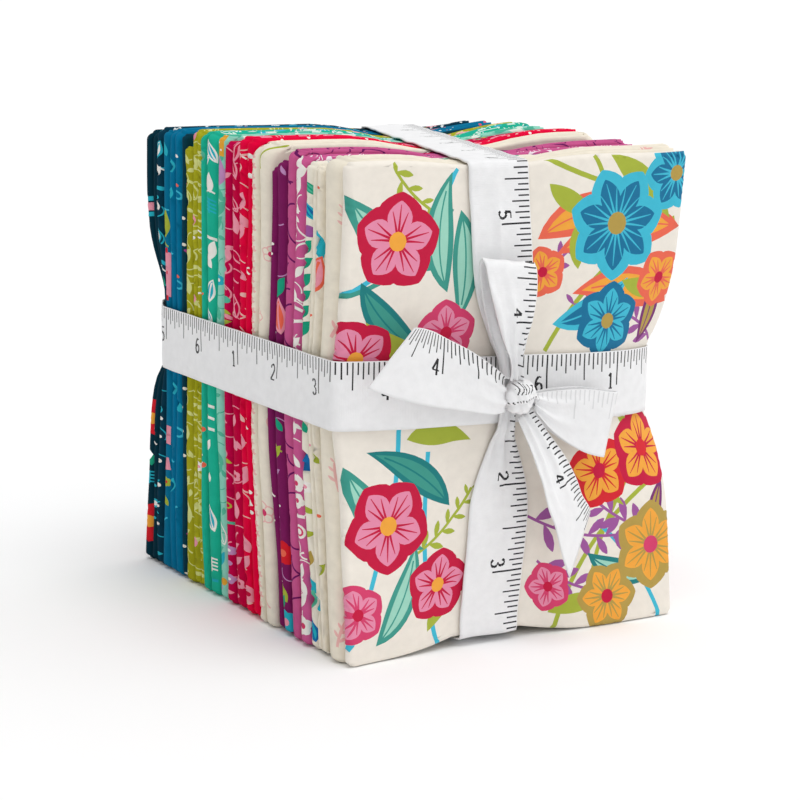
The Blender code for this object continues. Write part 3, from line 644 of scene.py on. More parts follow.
# Motifs on the folds that show on the left, fold by fold, front to back. Each: height, place round the
# fold from its crest with the front negative, kind, size, heading, colour and second colour
PLACED = {
    "cream_broad": """
        124 -4.5 sprig 7 70 blush, 119 -5.5 dot .6 0 blush, 95 -4 sprig 8 110 blush,
        52 -3.5 sprig 8 75 blush, 72 2 dot .5 0 blush, 8 -3 sprig 8 100 blush""",
    "cream_bits": """
        119 -.6 leaf 8 80 turquoise, 110.5 -.4 leaf 11 96 coral peony, 57 0 leaf 4 60 lime,
        40 -.3 dot .5 0 coral, 24 0 leaf 5 120 lime, 135 0 dot .4 0 coral
        | 98 0 dot .4 0 coral, 60 0 dot .4 0 peony, 14 0 leaf 5 80 turquoise""",
    "leaf_stripe": """
        134 -.4 leaf 5.5 40 green mint, 127.5 -.3 leaf 6 60 turquoise royal, 121.4 -.3 dot 1.7 0 purple,
        116.5 0 leaf 5.5 110 green, 112 0 leaf 5 120 green, 107 0 leaf 5.5 112 green,
        102.5 0 leaf 5 118 green, 98 0 leaf 5 112 green, 93 0 leaf 6 112 green, 65 0 leaf 4.5 70 green,
        54 0 bar 5 80 royal, 47 0 bloom 2 0 white peony, 40.5 0 leaf 4 20 lime, 33 0 leaf 4 150 lime,
        26 0 leaf 5 100 gold, 18.5 0 leaf 6 60 turquoise, 14 0 leaf 6 100 mint,
        5 0 leaf 7 80 royal turquoise""",
    "pink_leaf": """
        139.5 0 leaf 5 60 white, 136 -1 leaf 5 130 white, 132 0 leaf 6 110 white, 122 -1 line 9 60 white,
        118.5 1 leaf 4 100 white, 112 -.6 line 12 110 white, 105 0 line 12 70 white,
        101.5 .5 leaf 5 70 white, 97.5 0 stroke 4.5 15 white, 93.5 0 stroke 4.5 -15 white,
        62.5 0 leaf 4 90 white, 46.5 0 bloom 2.6 20 white rose, 41.5 0 bloom 2.4 50 white rose,
        37 0 stroke 4 0 white, 32.5 0 dot 2.1 0 white, 32.5 0 ring 1.4 0 rose white, 27 0 line 6 50 white,
        24.5 0 line 6 120 white, 17 0 leaf 6 60 white, 12.5 0 leaf 6 120 white, 90 0 line 7 60 white,
        87.5 -.6 leaf 4 120 white, 126.5 .8 leaf 5 60 white, 115 1 line 8 100 white,
        108 -1 leaf 4.5 120 white, 57.5 .4 line 9 80 white, 53 -.5 leaf 4 60 white, 21 0 leaf 5 100 white,
        5 0 bloom 3 10 white rose""",
    "purple_petal": """
        103.5 -.6 leaf 7 110 green, 95 -.8 leaf 11 84 peony coral, 62.5 -.6 leaf 4.5 60 green,
        57 0 line 6 60 lime, 54 0 leaf 5 120 lime, 24 -.3 bloom 3.8 20 red coral, 12 0 leaf 6 70 lime,
        9 .6 leaf 5 110 green, 3 0 bloom 4 0 turquoise peony, 88 .8 line 5 100 white, 38 0 dot .35 0 white,
        17 1 line 4 80 white""",
    "purple_plain": """
        118 0 dot .45 0 white, 115 .2 dot .45 0 white, 89 0 line 3.5 70 white, 87 .5 line 3.5 70 white,
        42 0 line 3 70 white, 33 .3 dot .35 0 white""",
    "cream_sprig": """
        137.5 -2 line 10 118 lime, 109.5 -2.6 bloom_line 2.6 20 blush rose,
        90.5 1.6 bloom_line 2.6 40 blush rose, 33 0 bloom_line 3.4 10 blush rose, 60 -3 line 4 80 blush,
        8 0 line 6 70 blush""",
    "red_dot": """
        136 -.3 dot .75 0 white, 130.3 -.3 dot .75 0 white, 133 .9 leaf 4.5 110 white,
        104.5 0 line 6 80 white, 102.5 .3 line 3 130 white, 57 0 line 3.5 80 white, 36.6 0 dot .6 0 white,
        33.5 .2 stroke 2 70 white, 30.6 0 dot .6 0 white""",
    "red_leaf": """
        139 .4 line 9 70 white, 133 -.5 line 9 110 blush, 122 0 leaf 6 100 peony, 117 -.5 leaf 5 60 peony,
        113 .3 leaf 6 112 peony, 101 0 leaf 4 60 peony, 91 0 line 6 60 blush, 51 0 leaf 4.5 90 peony,
        41 -.3 leaf 6 100 peony, 38 .6 line 5 50 blush, 21 0 leaf 6 70 peony, 15 0 leaf 5 110 peony,
        5.5 0 bloom 2.6 20 peony crimson""",
    "crimson_leaf": """
        138.5 -.6 leaf 8 100 peony crimson, 133.5 .3 leaf 7 70 peony crimson, 122.5 0 outline 5 60 peony,
        117 -.4 leaf 7 76 peony, 108.5 0 line 8 60 peony, 101.5 .3 line 6 55 peony,
        92 -.4 outline 7 80 peony, 87.5 .2 line 7 100 blush, 57 0 leaf 4 100 peony, 50 0 leaf 4.5 70 peony,
        40 0 bloom 1.8 0 peony crimson, 30 0 leaf 6 84 peony, 20.5 0 line 6 100 peony,
        14 0 leaf 4 130 peony, 7 0 bloom 1.8 0 peony crimson""",
    "crimson_bits": """
        107 -.3 leaf 5 100 peony, 103 .4 leaf 3.5 70 peony, 99 0 line 5 80 peony, 93.5 0 dot 1.1 0 mint,
        90 0 leaf 2.6 30 lime, 86.5 0 leaf 3 150 lime, 57 0 line 3 80 peony, 44 0 leaf 2.6 30 lime,
        37 0 line 4 100 peony, 30 0 ring 1 0 lime crimson, 24.6 0 stroke 3 0 mint,
        16 0 bloom 1.7 0 orchid white, 12 0 dot .8 0 orchid, 7 0 bloom 1.6 30 orchid white""",
    "aqua_pale": """
        139 0 bar 9 90 ochre, 141 -.5 dot .35 0 white, 138.5 .4 dot .35 0 white, 136.3 -.4 dot .35 0 white,
        131.5 0 leaf 7 80 orchid, 128.5 -.8 leaf 6 110 orchid, 123.5 0 leaf 5 60 mint,
        119 -.5 leaf 6 120 mint, 114.5 .3 leaf 5.5 120 mint, 97.5 0 bloom 1.8 0 turquoise white,
        88 0 leaf 5 70 mint, 55 0 line 5 100 mint, 43.5 0 leaf 5 60 mint, 40 0 leaf 4.5 120 mint,
        20 0 outline 7 75 white, 12 0 leaf 5 110 turquoise, 5 -.4 dot 1.2 0 ochre, 3 1 dot 1 0 orchid""",
    "aqua_leaf": """
        135.5 -1 leaf 7 60 white turquoise, 132 1 leaf 5 130 white turquoise, 126 -.6 leaf 6 84 white,
        122.5 -.3 line 5 160 white, 119 -.5 hatch 4 0 turquoise, 109.4 -.6 stroke 4 0 white,
        106 -1.4 leaf 6 100 white, 103 .4 leaf 6 60 white, 93.5 -.8 leaf 7.5 100 white turquoise,
        86 0 leaf 5 60 white turquoise, 58 0 stroke 4 0 white, 54.5 0 stroke 4 5 white,
        51 0 stroke 4 0 white, 46 0 leaf 4 110 white, 36 0 leaf 3 90 white,
        23.5 -.3 leaf 8.5 75 white turquoise, 9 0 hatch 4 0 white, 4 0 stroke 4 0 turquoise
        | 134 0 leaf 4 80 mint, 92 0 dot .4 0 coral, 50 0 dot .8 0 coral, 39 0 dot .9 0 coral,
        41 0 line 3 90 white""",
    "lime_leaf": """
        136 0 line 6 60 pear, 133 0 line 5 120 pear, 128 0 line 8 84 pear, 115 0 ring 1.8 0 pear,
        109.5 0 ring 1.3 0 white, 98 0 line 4 30 pear, 90 0 line 5 110 white, 48 0 outline 6 70 pear,
        37.5 0 bloom 1.7 0 white peony, 25 0 outline 5 110 pear, 12 0 line 5 60 pear
        | 139 0 leaf 3 90 peony, 131 0 leaf 5 80 pear, 122 0 outline 5 80 pear, 113.5 0 leaf 3.4 90 peony,
        108 0 dot .5 0 white, 89.5 0 leaf 2.6 90 peony, 55 0 line 5 60 pear, 13 0 leaf 3.4 90 peony,
        30 0 outline 6 100 pear""",
    "lime_plain": """
        137 0 leaf 4 60 pear, 130 0 stroke 4 10 pear, 124 .4 leaf 6 100 pear, 106 0 leaf 6 110 pear,
        101 0 line 5 20 pear, 97 -.3 leaf 6 80 pear, 88 0 leaf 4 120 pear, 49 0 leaf 5 90 pear,
        43 0 line 4 60 pear, 33 0 leaf 4 110 pear, 22.5 0 leaf 7 84 pear, 12 0 line 6 60 pear""",
    "teal_ring": """
        133 0 dot .5 0 white, 124 0 dot .5 0 coral, 121 0 ring 1.4 0 sky, 112 .6 dot .3 0 sky,
        95.6 0 dot .5 0 coral, 93 0 ring 1.4 0 sky, 55 0 leaf 5 70 turquoise, 46 0 ring 1.7 0 sky,
        20 0 line 5 100 sky
        | 130 0 leaf 5 80 turquoise, 121 0 leaf 4 100 turquoise, 104 0 line 4 80 sky,
        60 0 leaf 5 80 turquoise, 38 0 line 5 80 sky, 28 0 leaf 5 100 turquoise""",
    "teal_plain": """
        111.5 0 leaf 9 92 lime, 106 0 line 4 60 lime, 95.5 -.2 bar 14 91 peony, 103 -.2 bar 1.6 90 red,
        96 -.2 bar 1 90 red, 88 -.2 bar 1.6 90 red, 135 0 leaf 5 70 turquoise, 116.5 0 line 3 20 sky,
        43.5 0 bar 6 90 peony, 34 0 bar 4 80 peony, 28 0 bloom 1.7 0 lime red, 22 0 leaf 4 60 lime,
        14 0 line 6 110 sky""",
    "navy_leaf": """
        134 0 leaf 6 100 turquoise white, 131 .3 line 7 60 white, 127 0 leaf 4 110 white,
        122 0 dot .6 0 turquoise, 119 .2 dot .6 0 turquoise, 116.5 0 leaf 3 80 white,
        107 .3 leaf 5 90 turquoise white, 98 0 line 5 60 white, 92 0 leaf 4 100 green, 48 0 dot .6 0 white,
        42 0 dot .5 0 white, 34 0 dot .7 0 white, 26 0 dot .7 0 white, 19 0 dot .5 0 white,
        13 0 dot .5 0 white""",
    "navy_back": """
        94 0 leaf 5 60 turquoise, 88 0 leaf 5 120 white, 99 0 line 5 30 white, 42 0 line 6 80 white,
        19 0 dot 1.5 0 turquoise, 19 0 dot .8 0 white, 25 0 dot .5 0 turquoise, 14 0 dot .5 0 turquoise
        | 119 0 bar 2.4 0 turquoise, 116.5 0 bar 4.4 0 peony, 114 0 bar 2.4 0 turquoise,
        47 0 bloom 6.5 20 red orange, 34 0 leaf 6 80 green, 27 0 hatch 4 0 turquoise,
        12 0 bloom 7 50 red orange""",
}


MOTIFS = {name: [rows_of(fold) for fold in table.split("|")] for name, table in PLACED.items()}
MOTIFS["magenta_loop"] = [[
    (
        y, 1.1 * math.sin(1.9 * y) - 0.4,
        "line", 8 + 3 * math.sin(1.3 * y), 90 + 55 * math.sin(0.83 * y), "dark",
    )
    for y in range(4, 144, 6)
]]
MOTIFS["cream_sprig"].append([(y, -0.5 + 0.2 * (y % 2), "line", 1.7, 80, "blush") for y in range(5, 142, 3)])

# Fine lines and leaflets between those motifs: their ink and their spacing
FILLING = {
    "pink_leaf": ("white", 5), "red_leaf": ("blush", 6), "crimson_leaf": ("peony", 5.2),
    "crimson_bits": ("peony", 7), "aqua_pale": ("mint", 4), "lime_leaf": ("pear", 3.6),
    "lime_plain": ("pear", 4.4), "navy_leaf": ("turquoise", 8), "purple_petal": ("orchid", 15),
}


# Curved lines: half of their turn, and how broad they are
CURVES = {"line": (45, 0.5), "fine": (60, 0.32)}


def spot(shapes, x, y, radius, colour, step=0.45):
    angles = steps(0, math.tau, step)[:-1]
    shapes.append((colour, [(x + radius * math.cos(a), y + radius * math.sin(a)) for a in angles]))


def placed(shapes, ground, y, x, kind, size, heading, one, other=None):
    """One motif about its middle."""
    turn = math.radians(heading)
    rootx, rooty = x - size / 2 * math.cos(turn), y - size / 2 * math.sin(turn)
    colour = PRINT_INKS[one]
    if kind == "leaf":
        leaf(shapes, rootx, rooty, heading - 12, size, size * 0.46, 25, one, other)
    elif kind == "outline":
        path = bent(rootx, rooty, heading - 12, size, 25, 10)
        rim = leaf_along(path, size * 0.46)
        drawn(shapes, colour, rim + rim[:1], 0.4)
        drawn(shapes, colour, path[1:-1], 0.35)
    elif kind in CURVES:
        half_turn, wide = CURVES[kind]
        stem(shapes, rootx, rooty, heading - half_turn, size, 2 * half_turn, wide, one)
    elif kind in ("stroke", "bar"):
        wide = 0.9 if kind == "stroke" else min(2.8, 0.6 * size)
        drawn(shapes, colour, bent(rootx, rooty, heading, size, 0, 2), wide)
    elif kind == "hatch":
        for i in range(4):
            drawn(shapes, colour, bent(x - size / 2, y - 1.6 + 1.1 * i, 6, size, 0, 2), 0.5)
        drawn(shapes, colour, bent(x, y - 2.2, 90, 4.4, 0, 2), 0.5)
    elif kind == "sprig":
        sprig(shapes, rootx, rooty, heading, size, 20, 3, size * 0.4, one)
    elif kind in ("dot", "ring"):
        spot(shapes, x, y, size, colour)
        if kind == "ring":
            spot(shapes, x, y, size * 0.62, PRINT_INKS[other] if other else ground)
    else:
        for i in range(5):
            around = heading + 72 * i
            shapes.append((colour, petal(x, y, around, size, size * 0.95, 1.35, 7)))
            if kind == "bloom_line":
                root = bent(x, y, around, size * 0.14, 0, 1)[1]
                shapes.append((ground, petal(*root, around, size * 0.74, size * 0.66, 1.35, 7)))
        spot(shapes, x, y, size * 0.3, PRINT_INKS[other])


def fold_shapes(folded, name, ground):
    """The motifs of the folds that show on the left, each on a clear ground."""
    shapes = []
    edge = HEIGHT + 5
    tint, spacing = FILLING.get(name, (None, HEIGHT))
    for (middle, reach), rows in zip(folded.folds, MOTIFS.get(name, ())):
        side = reach + 1
        local = [(ground, [(-side, -5), (side, -5), (side, edge), (-side, edge)])]
        for k, height in enumerate(steps(3, HEIGHT - 2, spacing) if tint else ()):
            kind, size = ("leaf", 2.8) if k % 3 == 0 else ("fine", 5 + k % 2)
            placed(local, ground, height, reach * 0.4 * math.sin(2.4 * k + middle), kind, size, 47 * k, tint)
        for row in rows:
            placed(local, ground, *row)
        shapes += [(colour, [(middle + x, y) for x, y in outline]) for colour, outline in local]
    return shapes


# The printed rule on the ribbon

INCH = 25.4
INCH_LINE, PART_LINE = 0.52, 0.44
THIN_STROKE, BOLD_STROKE = 0.42, 0.74
# A figure's size, how far it stands from its line, and its foot below the ribbon's upper edge
FIGURE_WIDE, FIGURE_HIGH, FIGURE_AWAY, FIGURE_FOOT = 2.9, 4.6, 4.1, 0.56
END_MARGIN, EDGE_MARGIN = 0.4, 0.25
# The ticks: every how many sixteenths, and how far across the ribbon
TICKS = ((16, 0.52), (8, 0.41), (4, 0.3), (2, 0.255), (1, 0.19))
STROKES = {
    "1": (((0.25, 0.8), (0.5, 1.0)), ((0.5, 1.0), (0.5, 0.0)), ((0.25, 0.0), (0.75, 0.0))),
    "2": (
        ((0.12, 0.75), (0.2, 0.92), (0.5, 1.0), (0.8, 0.9), (0.85, 0.68), (0.62, 0.42), (0.1, 0.02)),
        ((0.1, 0.02), (0.9, 0.02)),
    ),
    "3": (
        ((0.15, 0.82), (0.3, 0.97), (0.6, 0.98), (0.8, 0.8), (0.72, 0.6), (0.42, 0.52)),
        ((0.42, 0.52), (0.78, 0.45), (0.88, 0.25), (0.72, 0.05), (0.4, 0.0), (0.12, 0.14)),
    ),
    "4": (((0.65, 0.0), (0.65, 1.0)), ((0.65, 1.0), (0.08, 0.3)), ((0.08, 0.3), (0.95, 0.3))),
    "5": (
        ((0.85, 0.97), (0.25, 0.97)),
        ((0.25, 0.97), (0.2, 0.55)),
        ((0.2, 0.55), (0.5, 0.64), (0.8, 0.5), (0.87, 0.27), (0.68, 0.05), (0.35, 0.0), (0.12, 0.14)),
    ),
    "6": (
        ((0.8, 0.92), (0.5, 0.98), (0.22, 0.75), (0.13, 0.4), (0.24, 0.1), (0.5, 0.0)),
        ((0.5, 0.0), (0.78, 0.1), (0.87, 0.3), (0.74, 0.52), (0.5, 0.58), (0.2, 0.42)),
    ),
}


def rule_shapes(length, place, figure, forward, colour):
    """Ticks that hang from the ribbon's upper edge, and a figure beside each inch.

    place is where the inch line of that figure is; figures count up along the ribbon where forward is 1.
    """
    half = RIBBON_WIDTH / 2
    shapes = []
    pitch = INCH / 16
    for k in range(math.ceil(-place / pitch), math.floor((length - place) / pitch) + 1):
        s = place + k * pitch
        if not END_MARGIN < s < length - END_MARGIN:
            continue
        share = next(reach for step, reach in TICKS if k % step == 0)
        side = (INCH_LINE if k % 16 == 0 else PART_LINE) / 2
        top, bottom = half - EDGE_MARGIN, half - RIBBON_WIDTH * share
        shapes.append((colour, [(s - side, top), (s - side, bottom), (s + side, bottom), (s + side, top)]))
        if k % 16 == 0 and figure:
            value = str((figure - 1 + forward * k // 16) % 6 + 1)
            left, base = s - forward * FIGURE_AWAY, half - RIBBON_WIDTH * FIGURE_FOOT
            for path in STROKES[value]:
                for one, other in zip(path, path[1:]):
                    run = [
                        (left + forward * x * FIGURE_WIDE, base + y * FIGURE_HIGH) for x, y in (one, other)
                    ]
                    level = abs(run[0][1] - run[1][1]) < 0.4
                    drawn(shapes, colour, run, THIN_STROKE if level else BOLD_STROKE)
    return shapes


PLEAT, PLEAT_FINE, RIBBON_THICK = 0.1, 0.035, 0.42
RIPPLE, RIPPLE_REACH, CREASE_WIDTH = 0.35, 9, 0.9
# How finely a closed and an open ribbon are parted, along and across
CLOSED_STEPS, OPEN_STEPS = (1.4, 1.25), (1.0, 0.8)
# What is left of the ribbon's half width beside its edges
HALF_WIDTH = RIBBON_WIDTH / 2 - 0.2


class Ribbon:
    """A length of ribbon through stations, each a middle, a half width's vector and an outward normal."""

    def __init__(self, stations, closed, seed=0, creases=()):
        self.stations = stations + stations[:1] if closed else stations
        self.places = [0]
        for one, other in zip(self.stations, self.stations[1:]):
            self.places.append(self.places[-1] + (other[0] - one[0]).length)
        self.length = self.places[-1]
        self.seed = seed
        self.creases = creases

    def __call__(self, s, t, side):
        last = len(self.places) - 2
        index = min(max(bisect_left(self.places, s - 1e-6) - 1, 0), last)
        span = self.places[index + 1] - self.places[index]
        share = min(1, max(0, (s - self.places[index]) / span))
        one, other = self.stations[index], self.stations[index + 1]
        middle, half, normal = (a.lerp(b, share) for a, b in zip(one, other))
        normal = normal.normalized()
        ratio = t / (RIBBON_WIDTH / 2)
        # What is gathered in across the ribbon stands up in pleats that run along it
        slack = max(0, HALF_WIDTH - half.length)
        shift = 1.5 * wave(14, s, self.seed * 7, 2) + self.seed
        pleats = PLEAT * math.cos(math.pi * 2.6 * ratio + shift)
        pleats += PLEAT_FINE * math.cos(math.pi * 5.1 * ratio + 2 * shift)
        rise = slack * pleats + RIPPLE * wave(RIPPLE_REACH, s, t, self.seed * 5)
        for start, reach, aside, depth in self.creases:
            rise += depth * fade(abs(s - start), reach) * math.exp(-(((t - aside) / CREASE_WIDTH) ** 2))
        return middle + half * ratio + normal * (rise + side * RIBBON_THICK / 2)

    def nearest(self, across, out, high):
        """How far along the ribbon that place is: its own axes are the bundle's."""
        place = Vector((across, out, high)) + STAND
        return min(steps(0, self.length, 0.2), key=lambda s: (self(s, RIBBON_WIDTH / 2, 1) - place).length)


def smooth_rows(rows, size):
    """Rows of numbers, with more of them along a smooth curve through the given ones."""
    found = []
    for i in range(len(rows) - 1):
        before, start, end, after = rows[max(0, i - 1)], rows[i], rows[i + 1], rows[min(len(rows) - 1, i + 2)]
        gap = math.hypot(*(b - a for a, b in zip(start[:3], end[:3])))
        for t in steps(0, 1, size / max(gap, size))[: None if i == len(rows) - 2 else -1]:
            row = []
            for a, b, c, d in zip(before, start, end, after):
                bow, twist = 2 * a - 5 * b + 4 * c - d, 3 * b - a - 3 * c + d
                row.append(b + 0.5 * ((c - a) * t + bow * t**2 + twist * t**3))
            found.append(row)
    return found


def station(low, high, normal):
    return (low + high) / 2, (high - low) / 2, normal.normalized()


# How far the ribbon's middle lies outside the cloth: the level one, the upright one, and where they cross
LEVEL_AWAY, UPRIGHT_AWAY, CROSSING_AWAY = 0.96, 0.86, 1.36
LEVEL_CORNER, LEVEL_STEP = 2.0, 2.5


def level_stations():
    corner, size = LEVEL_CORNER, LEVEL_STEP
    half = WIDTH / 2
    route = []
    for ax, ad, bx, bd in (
        (corner - half, 0, half - corner, 0),
        (half, corner, half, DEPTH - corner),
        (half - corner, DEPTH, corner - half, DEPTH),
        (-half, DEPTH - corner, -half, corner),
    ):
        length = abs(bx - ax) + abs(bd - ad)
        dx, dd = (bx - ax) / length, (bd - ad) / length
        route += [(ax + dx * s, ad + dd * s, dd, -dx) for s in steps(0, length, size)]
        for angle in steps(0, math.pi / 2, 0.2)[1:-1]:
            c, s = math.cos(angle), math.sin(angle)
            nx, nd = dd * c + dx * s, dd * s - dx * c
            route.append((bx + (nx - dd) * corner, bd + (nd + dx) * corner, nx, nd))
    stations = []
    for across, deep, nx, nd in route:
        edges = []
        for rise in (-1, 1):
            high = band_middle(across) + rise * HALF_WIDTH
            edges.append(drawn_in(across + nx * LEVEL_AWAY, deep + nd * LEVEL_AWAY, high))
        stations.append(station(*edges, Vector((nx, nd, 0))))
    # The ends of the route meet behind, so that no seam shows on the front
    middle = len(steps(corner - half, half - corner, size)) // 2
    behind = len(route) // 2 + middle
    return stations[behind:] + stations[:behind]


def strap(deep, high):
    middle, half = upright_middle(deep, high), HALF_WIDTH
    if deep > 0:
        return middle, half
    gap = abs(high - GATHER_HEIGHT)
    share = 1 - fade(gap - GATHER_START, GATHER_REACH)
    share *= share * (3 - 2 * share)
    middle += GATHER_SHIFT * fade(gap, GATHER_SHIFT_REACH)
    return middle, GATHERED_HALF + (half - GATHERED_HALF) * share


def upright_stations():
    over = CROSSING_AWAY
    crossing, easing, top, edge = RIBBON_WIDTH / 2 + 1, 3, HEIGHT - PRESS_TOP, 1.2
    heights = [(top - edge, 0)] + [(high, 0) for high in steps(top - 4, BAND_HEIGHT + crossing + easing, 3)]
    heights += [(high, over) for high in steps(BAND_HEIGHT + crossing, BAND_HEIGHT - crossing, 3)]
    heights += [(high, 0) for high in steps(BAND_HEIGHT - crossing - easing, arch(0) + edge, 3)]
    route = [(0, high, -1, 0, extra) for high, extra in reversed(heights)] + [(0, top, -0.8, 0.8, 0)]
    route += [(deep, top, 0, 1, 0) for deep in steps(edge, DEPTH - edge, 4)]
    route += [(DEPTH, top, 0.8, 0.8, 0)] + [(DEPTH, high, 1, 0, extra) for high, extra in heights]
    route += [(DEPTH, ARCH, 0.8, -0.8, 0)]
    route += [(deep, arch(deep), 0, -1, 0) for deep in steps(DEPTH - edge, edge, 4)]
    route += [(0, arch(0), -0.8, -0.8, 0)]
    stations = []
    for deep, high, nv, nz, extra in route:
        middle, half = strap(deep, high)
        edges = []
        for side in (-1, 1):
            away = UPRIGHT_AWAY + extra
            point = drawn_in(middle + side * half, deep + nv * away, high)
            point.z += nz * away
            edges.append(point)
        stations.append(station(*edges, Vector((0, nv, nz))))
    # The ends of the route meet where nobody sees the seam
    behind = len(heights) + 1 + len(steps(edge, DEPTH - edge, 4)) + len(heights) + 10
    return stations[behind:] + stations[:behind]


def bow_stations(table):
    rows = smooth_rows(table, 1.6)
    centres = [Vector((x, -proud - DEPTH / 2, z)) + STAND for x, z, proud, *_ in rows]
    stations = []
    flip = None
    for index, (_, _, _, half, angle, lean) in enumerate(rows):
        across = Vector((math.sin(math.radians(angle)) * half, -lean, math.cos(math.radians(angle)) * half))
        ahead = centres[min(index + 1, len(rows) - 1)] - centres[max(index - 1, 0)]
        normal = across.cross(ahead).normalized()
        if flip is None:
            flip = -1 if normal.y > 0 else 1
        stations.append((centres[index], across, normal * flip))
    return stations


def ribbon_piece(name, ribbon, shapes, closed):
    step, rise = CLOSED_STEPS if closed else OPEN_STEPS
    along, up = steps(0, ribbon.length, step), steps(-RIBBON_WIDTH / 2, RIBBON_WIDTH / 2, rise)
    return inlaid_sheet(name, along, up, ribbon, RIBBON, shapes, closed)


def knot_piece():
    """A small wrapped knot: slanting pleats, a tight turn round it, and the rule's ticks on both."""
    points, faces, colours = [], [], []
    rings, count = 72, 120
    middle = Vector((KNOT_CENTRE[0], -KNOT_CENTRE[2] - DEPTH / 2, KNOT_CENTRE[1])) + STAND
    for i in range(rings + 1):
        polar = math.pi * i / rings
        for j in range(count):
            around = math.tau * j / count
            out = math.sin(polar)
            nx, ny, nz = out * math.cos(around), out * math.sin(around), math.cos(polar)
            slant, turn = nx + 0.4 * nz, nz - 0.15 * nx
            scale = 1 + 0.08 * math.cos(6.5 * slant + 0.6) * out + 0.035 * math.cos(15 * slant)
            scale -= 0.13 * math.exp(-(((turn + 0.32) / 0.13) ** 2))
            scale += 0.04 * math.exp(-(((turn + 0.1) / 0.12) ** 2))
            box = 1 / (abs(nx) ** 3 + abs(ny) ** 3 + abs(nz) ** 3) ** (1 / 3)
            size = scale * (0.75 + 0.25 * box)
            place = Vector((nx * KNOT_RADII[0], ny * KNOT_RADII[2], nz * KNOT_RADII[1]))
            points.append(middle + place * size)
            if i < rings:
                a, b = i * count + j, i * count + (j + 1) % count
                faces.append((a, b, b + count, a + count))
                upright_ticks = 0.22 < nz < 0.84 - 0.3 * (nx + 0.3) ** 2 and -0.66 < nx < 0.5
                upright_ticks = upright_ticks and (nx + 0.09 * math.sin(9 * nz) + 2) * 4.2 % 1 < 0.3
                row_ticks = -0.2 < turn < -0.04 and (nx + 0.5 * nz + 2) * 5.5 % 1 < 0.36
                colours.append(INK if ny < 0 and (upright_ticks or row_ticks) else RIBBON)
    piece = finished_mesh("knot_wrap", points, faces, colours, [(p.z, p.x, 0) for p in points])
    shape = bmesh.new()
    shape.from_mesh(piece.data)
    bmesh.ops.remove_doubles(shape, verts=shape.verts, dist=1e-6)
    shape.to_mesh(piece.data)
    shape.free()
    return piece


# Materials


def added(tree, kind, sockets, **settings):
    """A node of that kind: sockets gives its inputs their values, or the outputs that they take."""
    node = tree.nodes.new("ShaderNode" + kind)
    for name, value in settings.items():
        setattr(node, name, value)
    for socket, value in sockets.items():
        if isinstance(value, bpy.types.NodeSocket):
            tree.links.new(value, node.inputs[socket])
        else:
            node.inputs[socket].default_value = value
    return node


def calc(tree, operation, *values):
    return added(tree, "Math", dict(enumerate(values)), operation=operation).outputs[0]


def attribute(tree, name, output):
    return added(tree, "Attribute", {}, attribute_name=name).outputs[output]


def mixed(tree, share, one, other):
    """The colour one, with other where share is 1."""
    return added(tree, "Mix", {0: share, 6: one, 7: other}, data_type="RGBA").outputs[2]


def blank(name, roughness, sheen, specular):
    material = bpy.data.materials.new(name)
    material.use_nodes = True
    tree = material.node_tree
    shader = tree.nodes["Principled BSDF"]
    shader.inputs["Roughness"].default_value = roughness
    shader.inputs["Specular IOR Level"].default_value = specular
    shader.inputs["Sheen Weight"].default_value = sheen
    shader.inputs["Sheen Roughness"].default_value = 0.5
    return material, tree, shader


def weave_bump(tree, shader, place, thread, depth, ribbed=False):
    """A plain weave, or cross ribs, as a bump, with the small unevenness of real cloth."""
    parts = added(tree, "SeparateXYZ", {0: place}).outputs
    warp, weft = (calc(tree, "SINE", calc(tree, "MULTIPLY", parts[i], math.tau / thread)) for i in (0, 1))
    pattern = warp if ribbed else calc(tree, "MULTIPLY", warp, weft)
    uneven = added(tree, "TexNoise", {"Vector": place, "Scale": 0.35, "Detail": 3}).outputs[0]
    height = calc(tree, "ADD", calc(tree, "MULTIPLY", pattern, 0.35), calc(tree, "MULTIPLY", uneven, 3.0))
    bump = added(tree, "Bump", {"Strength": 0.6, "Distance": depth * MM, "Height": height})
    tree.links.new(bump.outputs[0], shader.inputs["Normal"])
    return uneven


SPACING, LOOSE = 1.25, 0.3


def cell(tree, place, size, seed):
    """The place in the nearest motif's own axes, turned at random: along, aside."""
    shift = (seed * 37.3, seed * 17.9, 0)
    moved = added(tree, "VectorMath", {0: place, 1: shift}, operation="ADD").outputs[0]
    spread = {"Vector": moved, "Scale": 1 / (size * SPACING), "Randomness": LOOSE}
    scatter = added(tree, "TexVoronoi", spread, voronoi_dimensions="2D").outputs
    local = added(tree, "VectorMath", {0: moved, 1: scatter["Position"]}, operation="SUBTRACT").outputs[0]
    chance = added(tree, "SeparateColor", {0: scatter["Color"]}).outputs[0]
    spin = {"Vector": local, "Angle": calc(tree, "MULTIPLY", chance, math.tau)}
    turned_place = added(tree, "VectorRotate", spin, rotation_type="Z_AXIS").outputs[0]
    return added(tree, "SeparateXYZ", {0: turned_place}).outputs[:2]


def leaf_edge(get, along, aside, length, width):
    """How far inside a leaf the place is, in millimetres."""
    bow = get("POWER", get("DIVIDE", along, length), 2)
    return get("SUBTRACT", get("MULTIPLY_ADD", bow, -width, width), get("ABSOLUTE", aside))


